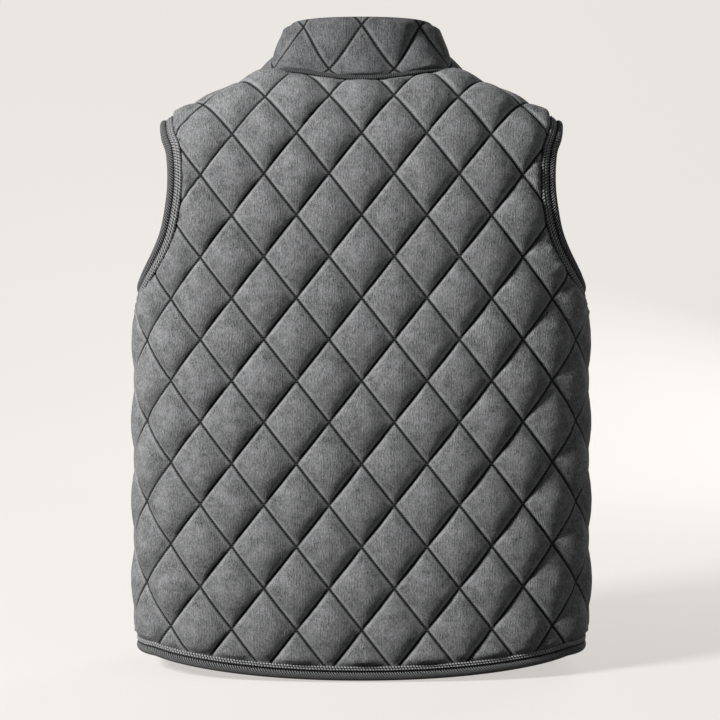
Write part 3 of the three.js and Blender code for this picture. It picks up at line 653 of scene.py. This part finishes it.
def quilting(name, place, facing, crossing, box, edges, thickness):
    """Every stitch on the sewing lines inside a panel, as one piece."""
    left, right, bottom, top = box
    wide, high = HALF_DIAMOND
    length = math.hypot(wide, high)
    starts = []
    for slant in (1, -1):
        lowest = math.floor(min(left, -right) / wide + (bottom - crossing) / high) - 2
        highest = math.ceil(max(right, -left) / wide + (top - crossing) / high) + 2
        for line in range(2 * (lowest // 2), highest + 1, 2):
            count = int((top - bottom) * length / high / STITCH) + 2
            run = np.arange(count) * STITCH
            up = bottom + run * high / length
            rnd = slant * (line * wide - (up - crossing) / high * wide)
            starts.append(np.stack([rnd, up, np.full(count, slant)], 1))
    s = np.vstack(starts)
    s = s[(s[:, 0] > left) & (s[:, 0] < right) & (s[:, 1] < top)]
    for measure, kind in edges:
        s = s[measure(s[:, 0], s[:, 1]) > stitch_margins[kind]]
    half = STITCH_SHOWN * STITCH / 2
    way = np.stack([-s[:, 2] * wide / length, np.full(len(s), high / length)], 1)
    ends = []
    for f in (-1, 0, 1):
        flat = s[:, :2] + f * half * way
        at, out = outward(place, flat[:, 0], flat[:, 1], facing)
        lift = thickness(flat[:, 0], flat[:, 1]) + (0.00012 if f == 0 else -0.00025)
        ends.append((at + out * lift[:, None], out))
    along = ends[2][0] - ends[0][0]
    across = unit(np.cross(along, ends[1][1]))
    mid, out = ends[1]
    ring = [mid + across * THREAD, mid + out * THREAD, mid - across * THREAD, mid - out * THREAD]
    points = np.stack([ends[0][0], *ring, ends[2][0]], 1).reshape(-1, 3)
    one = [(0, 2, 1), (0, 3, 2), (0, 4, 3), (0, 1, 4), (5, 1, 2), (5, 2, 3), (5, 3, 4), (5, 4, 1)]
    faces = (np.arange(len(s))[:, None, None] * 6 + np.array(one)[None]).reshape(-1, 3)
    thread = make_object(name, points, faces)
    thread.data.materials.append(thread_grey)
    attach(thread, "vest")
    return thread


PANEL_TOP = 0.07
for name, (shell, edges, thickness, flat, area) in panels.items():
    side = BACK if name == "back" else FRONT
    left = 0.0 if name == "front_left" else -side.seam
    right = 0.0 if name == "front_right" else side.seam
    box = (left, right, HEM_CENTRE, PANEL_TOP)
    thread = quilting(
        "thread_" + name, side.place, -side.facing, BODY_CROSSING, box, edges, thickness
    )

# Stand collar
# The same quilted cloth, sewn to the neck and leaning in to a smaller top edge. The
# cloth is folded at the top, so that edge is soft and has no binding.
COLLAR_TOP = (0.075, 0.057, 0.079)
COLLAR_TOP_HEIGHTS = (0.049, 0.052, -0.014)
COLLAR_HEIGHT = 0.068
COLLAR_TAPER = 0.33
COLLAR_SEAM_GAP = 0.0012
COLLAR_LEAVE = 0.008
COLLAR_ARRIVE = 0.050
COLLAR_CROSSING = 0.058
COLLAR_PUFFED = 0.0090


def neck_line():
    """Neck seam from the middle of the back to the middle of the front."""
    turns = np.linspace(0, np.pi, 121)
    places, outs = [], []
    for turn in turns:
        side = BACK if turn <= np.pi / 2 else FRONT
        rnd, up = neck_point(side, turn if side is BACK else np.pi - turn)
        places.append(side.place(np.array([rnd]), np.array([up]))[0])
        low = min(up, float(side.seam_up(rnd)) - 0.0006)
        outs.append(outward(side.place, np.array([rnd]), np.array([low]), -side.facing)[1][0])
    places, outs = np.array(places), np.array(outs)
    mirror = np.array([-1.0, 1.0, 1.0])
    before = np.vstack([places[1] * mirror, places[:-1]])
    after = np.vstack([places[1:], places[-2] * mirror])
    into = unit(np.cross(outs, after - before))
    centre = np.stack([-places[:, 0], -places[:, 1], np.full(len(places), 0.4)], 1)
    into *= np.sign((into * centre).sum(1))[:, None]
    return turns, places, outs, into, run_along(places)


neck_turns, neck_places, neck_outs, neck_into, neck_round = neck_line()
NECK_HALF = neck_round[-1]
past_back = np.flatnonzero((neck_turns > 2) & (neck_places[:, 0] < FRONT_EDGE))[0]
COLLAR_END = neck_round[past_back] - 0.0015


def on_neck(at, values):
    return np.stack([np.interp(at, neck_round, values[:, k]) for k in range(3)], -1)


def collar_width(up):
    """The band is cut shorter along its top edge: its width at a height, as a share."""
    return 1 - COLLAR_TAPER * up / COLLAR_HEIGHT


def collar_place(across, up):
    up = np.asarray(up, float)
    rnd = np.asarray(across, float) / collar_width(up)
    at = np.minimum(np.abs(rnd), NECK_HALF)
    turn = np.interp(at, neck_round, neck_turns)
    into = unit(on_neck(at, neck_into))
    seam = on_neck(at, neck_places) + into * COLLAR_SEAM_GAP
    s, c = np.sin(turn), np.cos(turn)
    front = c < 0
    back_top, side_top, front_top = COLLAR_TOP_HEIGHTS
    edge = np.where(front, FRONT_EDGE * (1 - COLLAR_TOP[0] / NECK_WIDTH) * c * c, 0)
    x = np.where(at >= NECK_HALF, 0, COLLAR_TOP[0] * s + edge)
    y = c * np.where(front, COLLAR_TOP[2], COLLAR_TOP[1])
    z = np.where(front, side_top + (front_top - side_top) * c * c,
                 back_top + (side_top - back_top) * s * s)
    top = np.stack([x, y, z], -1)
    rise = top - seam
    arrive = np.stack([rise[..., 0] * 0.35, rise[..., 1] * 0.35, np.abs(rise[..., 2])], -1)
    arrive *= COLLAR_ARRIVE / np.linalg.norm(arrive, axis=-1, keepdims=True)
    f = (up / COLLAR_HEIGHT)[..., None]
    made = seam * (2 * f**3 - 3 * f**2 + 1) + into * COLLAR_LEAVE * (f**3 - 2 * f**2 + f)
    made += top * (3 * f**2 - 2 * f**3) + arrive * (f**3 - f**2)
    made[..., 0] *= np.where(rnd < 0, -1, 1)
    return made


collar_edges = [
    (lambda r, u: COLLAR_END * collar_width(u) - np.abs(r), "zip"),
    (lambda r, u: u, "foot"),
    (lambda r, u: COLLAR_HEIGHT - u, "top"),
]


def collar_thickness(rnd, up):
    return padding(rnd, up, COLLAR_CROSSING, COLLAR_PUFFED, collar_edges)


collar_net = quilt_net(
    -COLLAR_END, COLLAR_END, -0.002, COLLAR_HEIGHT + 0.002, COLLAR_CROSSING, collar_edges
)
collar = quilted_shell("quilted_collar", collar_place, -1, collar_net, collar_thickness)
# Painted shade: the collar takes a darker copy of the body's needlecord.
collar.data.materials.append(
    needlecord("needlecord_grey_collar_shaded", "#313233", "#858688", COLLAR_CROSSING)
)
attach(collar, "vest")
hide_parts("collar")
collar_thread = quilting(
    "thread_collar", collar_place, -1, COLLAR_CROSSING,
    (-COLLAR_END, COLLAR_END, 0.0, COLLAR_HEIGHT), collar_edges, collar_thickness,
)

# Neck piping
# A soft tape with a two-ply twisted cord along it, sewn down over the neck seam from
# one side of the zip to the other. Its ribs slant, as the plies of the cord do.


def strand(name, rings, lengths, section, closed):
    """Closed strip through rings of points, with the way along it kept per point."""
    count, n = rings.shape[:2]
    rows = count if closed else count - 1
    r = np.arange(rows)[:, None]
    i = np.arange(n)[None]
    a = r * n + i
    b = r * n + (i + 1) % n
    d = ((r + 1) % count) * n + i
    c = ((r + 1) % count) * n + (i + 1) % n
    faces = np.stack([a, d, c, b], -1).reshape(-1, 4).tolist()
    if not closed:
        faces.append(list(range(n)))
        faces.append(list(range((count - 1) * n, count * n))[::-1])
    cloth = np.concatenate([
        np.broadcast_to(lengths[:, None, None], (count, n, 1)),
        np.broadcast_to(section[None, :, :], (count, n, 2)),
    ], axis=2)
    points = rings.reshape(-1, 3)
    made = make_object(name, points, faces, cloth.reshape(-1, 3))
    if strand_volume(made) < 0:
        made.data.flip_normals()
    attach(made, "vest")
    return made


def strand_volume(obj):
    mesh = obj.data
    mesh.calc_loop_triangles()
    points = np.array([v.co[:] for v in mesh.vertices])
    t = np.array([tri.vertices[:] for tri in mesh.loop_triangles])
    return float((points[t[:, 0]] * np.cross(points[t[:, 1]], points[t[:, 2]])).sum() / 6)


def corded(name, dark, light, rib, bead, edge, base, shade):
    """Cotton braid: slanting ribs round its darker rolled part, beads along its ridges.

    The ribs and beads are two to three millimetres long, as the photo shows them.
    """
    material, surface = new_material(
        name, {"Roughness": 0.9, "Specular IOR Level": 0.15, "Sheen Weight": 0.08}
    )
    cloth = add_node(material, "ShaderNodeAttribute", {"attribute_name": "cloth"}).outputs["Vector"]
    split = add_node(material, "ShaderNodeSeparateXYZ", links={0: cloth})
    along, out, up = split.outputs[0], split.outputs[1], split.outputs[2]
    slanted = maths(material, "ADD", along, out)
    slanted = maths(material, "ADD", slanted, maths(material, "MULTIPLY", up, -0.4))
    ribs = maths(material, "SINE", maths(material, "MULTIPLY", slanted, 2 * math.pi / rib))
    ribs = maths(material, "MULTIPLY", maths(material, "ADD", ribs, 1.0), 0.5)
    turn = maths(material, "ADD", along, maths(material, "MULTIPLY", out, 0.5))
    beads = maths(material, "SINE", maths(material, "MULTIPLY", turn, math.pi / bead))
    beads = maths(material, "ABSOLUTE", beads)
    rolled = ranged(material, out, edge - 0.0003, edge + 0.0003)
    pattern = add_node(material, "ShaderNodeMix", {}, {0: rolled, 2: beads, 3: ribs}).outputs[0]
    fuzz = noise(material, cloth, 1500.0, 3.0, 0.7)
    worn = noise(material, cloth, 90.0, 4.0)
    # Painted light by height: the braid's ridges are made lighter and the hollows between them
    # darker, and the rolled part is made darker by shade, as painted shade.
    painted_ridge_light = ranged(material, up, base, base + 0.0012, -0.15, 0.45)
    tone = blend_of(material, ((pattern, 1.30), (fuzz, 0.40), (worn, 0.20)))
    lift = add_node(material, "ShaderNodeMix", {3: -shade}, {0: rolled, 2: painted_ridge_light}).outputs[0]
    tone = maths(material, "ADD", tone, lift)
    # Painted shade: a dark band where the rolled part meets the flat braid, for the shade in the
    # groove between them.
    aside = maths(material, "ABSOLUTE", maths(material, "SUBTRACT", out, edge))
    groove_shade = ranged(material, aside, 0.0004, 0.0012, 1.0, 0.0)
    tone = maths(material, "SUBTRACT", tone, groove_shade)
    grey = between(material, dark, light, ranged(material, tone, 0.40, 1.90))
    height = maths(material, "ADD", pattern, maths(material, "MULTIPLY", fuzz, 0.4))
    dress(material, surface, height, 1.0, 0.0011, grey)
    return material


PIPING_ACROSS = 0.0031
PIPING_UP = 0.0016
piping_runs = np.linspace(-COLLAR_END, COLLAR_END, 420)
piping_at = np.abs(piping_runs)
mirror = np.where(piping_runs < 0, -1.0, 1.0)[:, None]
piping_out = unit(on_neck(piping_at, neck_outs))
piping_into = unit(on_neck(piping_at, neck_into))
piping_mid = on_neck(piping_at, neck_places) - piping_into * 0.0024
piping_mid = piping_mid + piping_out * (EDGE + 0.0004 + PIPING_UP)
turns = np.linspace(0, 2 * np.pi, 28, endpoint=False)
# Two plies stand side by side on the tape, so the section has a waist on top.
waist = 1 - 0.58 * np.exp(-((np.cos(turns) / 0.22) ** 2)) * (np.sin(turns) > 0)
piping_section = np.stack([PIPING_ACROSS * np.cos(turns),
                           1.15 * PIPING_UP * np.sin(turns) * waist], 1)
rings = (piping_mid[:, None] + piping_into[:, None] * piping_section[None, :, :1]
         + piping_out[:, None] * piping_section[None, :, 1:])
rings[..., 0] *= mirror
piping = strand("neck_cord", rings, piping_runs, piping_section, closed=False)
piping.data.materials.append(
    corded("twisted_cord_grey", "#242526", "#77787a", 0.0022, 0.0023, -1.0, 0.0004, 0.15)
)
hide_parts("neck_piping")

# Bindings of the armholes and the hem
# Corded braid folded over the raw edge: two sewn ridges along a flat tape on the
# outside, a groove, and a rolled edge past the cloth. A plain flap lies inside.
ARM_FLAP = 0.0142
HEM_FLAP = 0.0104
GROOVE_AT = -0.0049
RING_SPACING = 0.0026


def binding_section(flap):
    """Section of the braid: distance past the cloth's edge and height off it."""
    run = np.linspace(-flap, -0.0048, 30)
    top = 0.0043 + 0 * run
    for ridge, height in ((0.0015, 0.0013), (0.0046, 0.0010)):
        top += height * np.exp(-(((run + flap - ridge * flap / ARM_FLAP) / 0.00085) ** 2))
    top -= 0.0008 * np.exp(-(((run + 0.0050) / 0.0007) ** 2))
    turn = np.linspace(math.radians(148), math.radians(-58), 26)
    roll = np.stack([-0.0003 + 0.0049 * np.cos(turn), 0.0011 + 0.0045 * np.sin(turn)], 1)
    inner = [(-0.003, -0.0029), (-0.0075, -0.0033), (-0.0100, -0.0031), (-0.0100, -0.0024),
             (0.0008, -0.0013), (0.0008, 0.0030), (-flap, 0.0031)]
    return np.vstack([np.stack([run, top], 1), roll, np.array(inner)])


def edge_rings(side, flat, past, section, mirrored):
    """Rings of the binding at flat places along an edge, each going past it."""
    inward = np.minimum(section[:, 0], 0)
    beyond = np.maximum(section[:, 0], 0)
    rnd = flat[:, None, 0] + past[:, None, 0] * inward[None]
    up = flat[:, None, 1] + past[:, None, 1] * inward[None]
    shape = rnd.shape
    at, out = outward(side.place, rnd.ravel(), up.ravel(), -side.facing)
    edge, _ = outward(side.place, flat[:, 0], flat[:, 1], -side.facing)
    back, _ = outward(side.place, flat[:, 0] - 0.001 * past[:, 0],
                      flat[:, 1] - 0.001 * past[:, 1], -side.facing)
    way = unit(edge - back)
    rings = at.reshape(*shape, 3) + out.reshape(*shape, 3) * section[None, :, 1:]
    rings += way[:, None] * beyond[None, :, None]
    if mirrored:
        rings[..., 0] *= -1
    return rings, edge * np.array([-1.0 if mirrored else 1.0, 1, 1])


def evenly(rings, edge, step, closed):
    """The same strip with its rings a set distance apart along the edge."""
    loop = np.vstack([edge, edge[:1]]) if closed else edge
    run = run_along(loop)
    count = int(run[-1] / step)
    at = np.linspace(0, run[-1], count, endpoint=not closed)
    source = np.concatenate([rings, rings[:1]]) if closed else rings
    flat = source.reshape(len(source), -1)
    made = np.stack([np.interp(at, run, flat[:, k]) for k in range(flat.shape[1])], 1)
    return made.reshape(count, *rings.shape[1:]), at, float(run[-1])


def spaced(line, count):
    """The same flat line with its points evenly apart."""
    run = run_along(line)
    at = np.linspace(0, run[-1], count)
    return np.stack([np.interp(at, run, line[:, k]) for k in (0, 1)], 1)


braid = corded(
    "corded_braid_grey", "#0b0b0c", "#a2a3a5", 0.0027, 0.0031, GROOVE_AT, 0.0042, 0.10
)
arm_section = binding_section(ARM_FLAP)
for name, mirrored in (("armhole_binding_left", False), ("armhole_binding_right", True)):
    parts = []
    for side in (BACK, FRONT):
        line = spaced(smooth_line(side.armhole[::6], 160), 200)
        way = unit(np.gradient(line, axis=0))
        past = np.stack([-way[:, 1], way[:, 0]], 1)
        parts.append(edge_rings(side, line, past, arm_section, mirrored))
    (back_rings, back_edge), (front_rings, front_edge) = parts
    rings = np.concatenate([back_rings, front_rings[1:-1][::-1]])
    edge = np.concatenate([back_edge, front_edge[1:-1][::-1]])
    rings, at, length = evenly(rings, edge, RING_SPACING, closed=True)
    piece = strand("braid_" + name, rings, at, arm_section, closed=True)
    piece.data.materials.append(braid)
    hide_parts(name)

hem_section = binding_section(HEM_FLAP)
hem_parts = []
for side, start, mirrored in ((FRONT, FRONT_EDGE, True), (BACK, 0.0, True),
                              (BACK, 0.0, False), (FRONT, FRONT_EDGE, False)):
    rnd = np.linspace(start, side.seam, 220)
    slope = (hem_up(rnd + 0.001) - hem_up(rnd - 0.001)) / 0.002
    past = unit(np.stack([slope, -np.ones(len(rnd))], 1))
    hem_parts.append(edge_rings(side, np.stack([rnd, hem_up(rnd)], 1), past, hem_section, mirrored))
order = [(0, slice(None)), (1, slice(-2, None, -1)), (2, slice(1, None)), (3, slice(-2, None, -1))]
rings = np.concatenate([hem_parts[k][0][s] for k, s in order])
edge = np.concatenate([hem_parts[k][1][s] for k, s in order])
rings, at, length = evenly(rings, edge, RING_SPACING, closed=False)
hem = strand("braid_hem_binding", rings, at, hem_section, closed=False)
hem.data.materials.append(braid)
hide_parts("hem_binding")

# Zip
# A closed separating zip: two woven tapes behind the fronts' edges and a chain of
# moulded teeth between them, drawn up to the collar.
# Woven polyester, dull and dark. Its ribs are drawn 1 mm apart, or they wouldn't show.
tape_dark, tape_surface = new_material("woven_zip_tape_dark_grey", {"Roughness": 0.85})
tape_at = add_node(tape_dark, "ShaderNodeTexCoord")
weave = add_node(
    tape_dark, "ShaderNodeTexWave",
    {"bands_direction": "Z", "Scale": 320.0, "Distortion": 0.6, "Detail": 1.0},
    {"Vector": tape_at.outputs["Object"]},
)
cords = add_node(
    tape_dark, "ShaderNodeTexWave",
    {"bands_direction": "X", "Scale": 420.0, "Distortion": 0.3},
    {"Vector": tape_at.outputs["Object"]},
)
woven = maths(tape_dark, "MULTIPLY", weave.outputs[1], cords.outputs[1])
tape_grey = between(tape_dark, "#2b2b2e", "#4a4a4e", woven)
dress(tape_dark, tape_surface, woven, 0.5, 0.0003, tape_grey)


def refinish(node, material):
    """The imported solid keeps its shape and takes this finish."""
    for old in range(len(node.data.materials)):
        node.data.materials[old] = material


refinish(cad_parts["zip_tapes_and_chain"], tape_dark)

TOOTH_PITCH = 0.0030
TAPE_FOOT = 0.019
COLLAR_ZIP_TOP = 0.051
neck_front_up = FRONT.neck[0, 1]
zip_ups = np.arange(HEM_CENTRE + TAPE_FOOT, neck_front_up - 0.002, 0.001)
zip_line = FRONT.place(np.zeros(len(zip_ups)), zip_ups)
collar_ups = np.arange(0.003, COLLAR_ZIP_TOP, 0.001)
collar_line = collar_place(NECK_HALF * collar_width(collar_ups), collar_ups)
zip_line = np.vstack([zip_line, collar_line])
zip_line[:, 0] = 0
zip_run = run_along(zip_line)


def on_zip(at):
    return np.stack([np.interp(at, zip_run, zip_line[:, k]) for k in range(3)], 1)


tooth_at = np.arange(0.001, zip_run[-1] - 0.001, TOOTH_PITCH / 2)
tooth_mid = on_zip(tooth_at)
tooth_way = unit(on_zip(tooth_at + TOOTH_PITCH / 2) - on_zip(tooth_at - TOOTH_PITCH / 2))
tooth_out = np.cross(np.array([1.0, 0, 0]), tooth_way)
# Outline of one tooth seen from the front, its head across the middle line.
tooth = np.array([
    (-0.0026, -0.0008), (-0.0008, -0.0007), (0.0004, -0.0010), (0.0010, -0.0006),
    (0.0010, 0.0006), (0.0004, 0.0010), (-0.0008, 0.0007), (-0.0026, 0.0008),
])
points, faces = [], []
for k in range(len(tooth_at)):
    hand = 1 if k % 2 else -1
    first = len(points)
    for lift, inset in ((0.0012, 1.0), (0.0019, 1.0), (0.0022, 0.82)):
        for x, w in tooth:
            p = tooth_mid[k] + tooth_way[k] * w * inset * 0.8 + tooth_out[k] * lift
            points.append((hand * x * (0.96 if inset < 1 else 1), p[1], p[2]))
    n = len(tooth)
    for ring in (0, 1):
        for i in range(n):
            a, b = first + ring * n + i, first + ring * n + (i + 1) % n
            faces.append((a, b, b + n, a + n) if hand > 0 else (a, a + n, b + n, b))
    cap = [first + 2 * n + i for i in range(n)]
    faces.append(cap if hand > 0 else cap[::-1])
    base = [first + i for i in range(n)]
    faces.append(base[::-1] if hand > 0 else base)
# Retaining box at the foot of the zip, level with the hem's lower edge, with its two pins
# and the film that stiffens the tapes' ends behind them.
foot = FRONT.place(np.zeros(2), np.array([HEM_CENTRE + 0.0005, HEM_CENTRE + 0.0145]))
for x0, x1, low, high, back, front in (
    (-0.0049, 0.0049, -0.0020, 0.0095, -0.0012, 0.0026),
    (-0.0030, -0.0012, 0.0095, 0.0185, -0.0006, 0.0020),
    (0.0008, 0.0030, 0.0095, 0.0185, -0.0006, 0.0022),
    (-0.0050, 0.0050, 0.0090, 0.0162, -0.0018, -0.0008),
):
    first = len(points)
    for deep in (-back, -front):
        for x, z in ((x0, low), (x1, low), (x1, high), (x0, high)):
            points.append((x, foot[0][1] + deep, foot[0][2] + z))
    corners = np.array([(0, 3, 2, 1), (4, 5, 6, 7), (0, 1, 5, 4), (1, 2, 6, 5), (2, 3, 7, 6),
                        (3, 0, 4, 7)])
    faces += [tuple(int(k) for k in c) for c in corners + first]
teeth = make_object("zip_teeth", points, faces, smooth=False)
# Acetal comes from its mould with a fine grain and a low, soft shine.
moulded, moulded_surface = new_material(
    "moulded_acetal_dark_grey", {"Base Color": colour_of("#3c3c40"), "Roughness": 0.38}
)
grain = add_node(moulded, "ShaderNodeTexNoise", {"Scale": 2200.0, "Detail": 2.0})
dress(moulded, moulded_surface, grain.outputs[0], 0.15, 0.0001)
teeth.data.materials.append(moulded)
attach(teeth, "vest")

# Slider and pull tab
# Die-cast zinc with a dull nickel plate; the tab swings in the slider's bridge. Both
# keep their own solids, with their edges broken as a casting's are.
CAST_EDGE = 0.00022
# Handling scuffs the plate in patches of about 1.5 mm, so its highlights are uneven.
nickel, nickel_surface = new_material(
    "dull_nickel_plate", {"Base Color": colour_of("#a8a7a3"), "Metallic": 1.0}
)
scuffs = add_node(nickel, "ShaderNodeTexNoise", {"Scale": 700.0, "Detail": 6.0, "Roughness": 0.65})
rubbed = ranged(nickel, scuffs.outputs[0], 0.0, 1.0, 0.26, 0.52)
nickel.node_tree.links.new(rubbed, nickel_surface.inputs["Roughness"])
dress(nickel, nickel_surface, scuffs.outputs[0], 0.12, 0.0002)
for name in ("zip_slider", "zip_pull"):
    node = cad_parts[name]
    refinish(node, nickel)
    broken = node.modifiers.new("broken_edges", "BEVEL")
    broken.width = CAST_EDGE
    broken.segments = 2
    broken.limit_method = "ANGLE"

# Studio
# Pale seamless paper under and behind the vest and a soft lamp at the upper left of the
# photographer, as the photo's shading shows. A weak lamp fills the right side, and one
# lights the front, which the photo doesn't see.
FLOOR = -0.6455
PAPER_NEAR = 9.0
PAPER_BEND = -1.9
BEND_RADIUS = 2.7
PAPER_HEIGHT = 3.4
PAPER_HALF_WIDTH = 6.0
profile = [(y, FLOOR) for y in np.linspace(PAPER_NEAR, PAPER_BEND, 12)]
for turn in np.linspace(0, np.pi / 2, 36)[1:]:
    profile.append((
        PAPER_BEND - BEND_RADIUS * math.sin(turn), FLOOR + BEND_RADIUS * (1 - math.cos(turn))
    ))
profile.append((PAPER_BEND - BEND_RADIUS, FLOOR + PAPER_HEIGHT))
paper_points = []
for y, z in profile:
    paper_points += [(-PAPER_HALF_WIDTH, y, z), (PAPER_HALF_WIDTH, y, z)]
paper_faces = [(2 * k, 2 * k + 1, 2 * k + 3, 2 * k + 2) for k in range(len(profile) - 1)]
paper = make_object("paper_sweep", paper_points, paper_faces)
white, white_surface = new_material("matt_paper_pale", {
    "Base Color": colour_of("#8f8e8c"),
    "Roughness": 0.95,
    "Specular IOR Level": 0.05,
    "Emission Color": colour_of("#fbf7f2"),
})
# The far paper has lights of its own, so it is as pale as the floor by the vest.
paper_at = add_node(white, "ShaderNodeTexCoord")
paper_depth = add_node(white, "ShaderNodeSeparateXYZ", links={0: paper_at.outputs["Object"]})
far_light = ranged(white, paper_depth.outputs[1], 1.0, -2.6, 0.575, 0.755, "SMOOTHSTEP")
white.node_tree.links.new(far_light, white_surface.inputs["Emission Strength"])
paper.data.materials.append(white)
paper.visible_diffuse = False


def soft_light(name, place, target, size, power, tint):
    lamp = bpy.data.lights.new(name, "AREA")
    lamp.shape = "RECTANGLE"
    lamp.size, lamp.size_y = size
    lamp.energy = power
    lamp.color = tint
    holder = bpy.data.objects.new(name, lamp)
    bpy.context.scene.collection.objects.link(holder)
    holder.location = place
    way = np.array(target) - np.array(place)
    holder.rotation_euler = Vector(way).to_track_quat("-Z", "Y").to_euler()


soft_light("key_light", (2.42, 1.62, 1.22), (0, 0.1, -0.32), (0.7, 0.7), 181, (1.0, 0.99, 0.98))
soft_light("fill_light", (-2.5, 1.1, 0.5), (0, 0, -0.35), (1.0, 1.0), 10, (0.98, 0.99, 1.0))
soft_light("front_light", (-1.6, -2.6, 1.0), (0, 0, -0.35), (1.6, 1.6), 36, (0.98, 0.99, 1.0))
world = bpy.data.worlds.new("studio_air")
bpy.context.scene.world = world
world.use_nodes = True
air = world.node_tree.nodes["Background"]
air.inputs[0].default_value = colour_of("#eeece9")
air.inputs[1].default_value = 0.05
bpy.context.scene.view_settings.view_transform = "Standard"

# Camera
# Level with the middle of the vest, 1.6 m behind it, as in the photo.
lens = bpy.data.cameras.new("photo_camera")
lens.sensor_width = 36.0
lens.lens = 73.2
lens.clip_start = 0.05
lens.shift_x = -0.0021
camera = bpy.data.objects.new("photo_camera", lens)
bpy.context.scene.collection.objects.link(camera)
camera.location = (0.0, 1.61, -0.3146)
camera.rotation_euler = (math.pi / 2, 0.0, math.pi)
bpy.context.scene.camera = camera
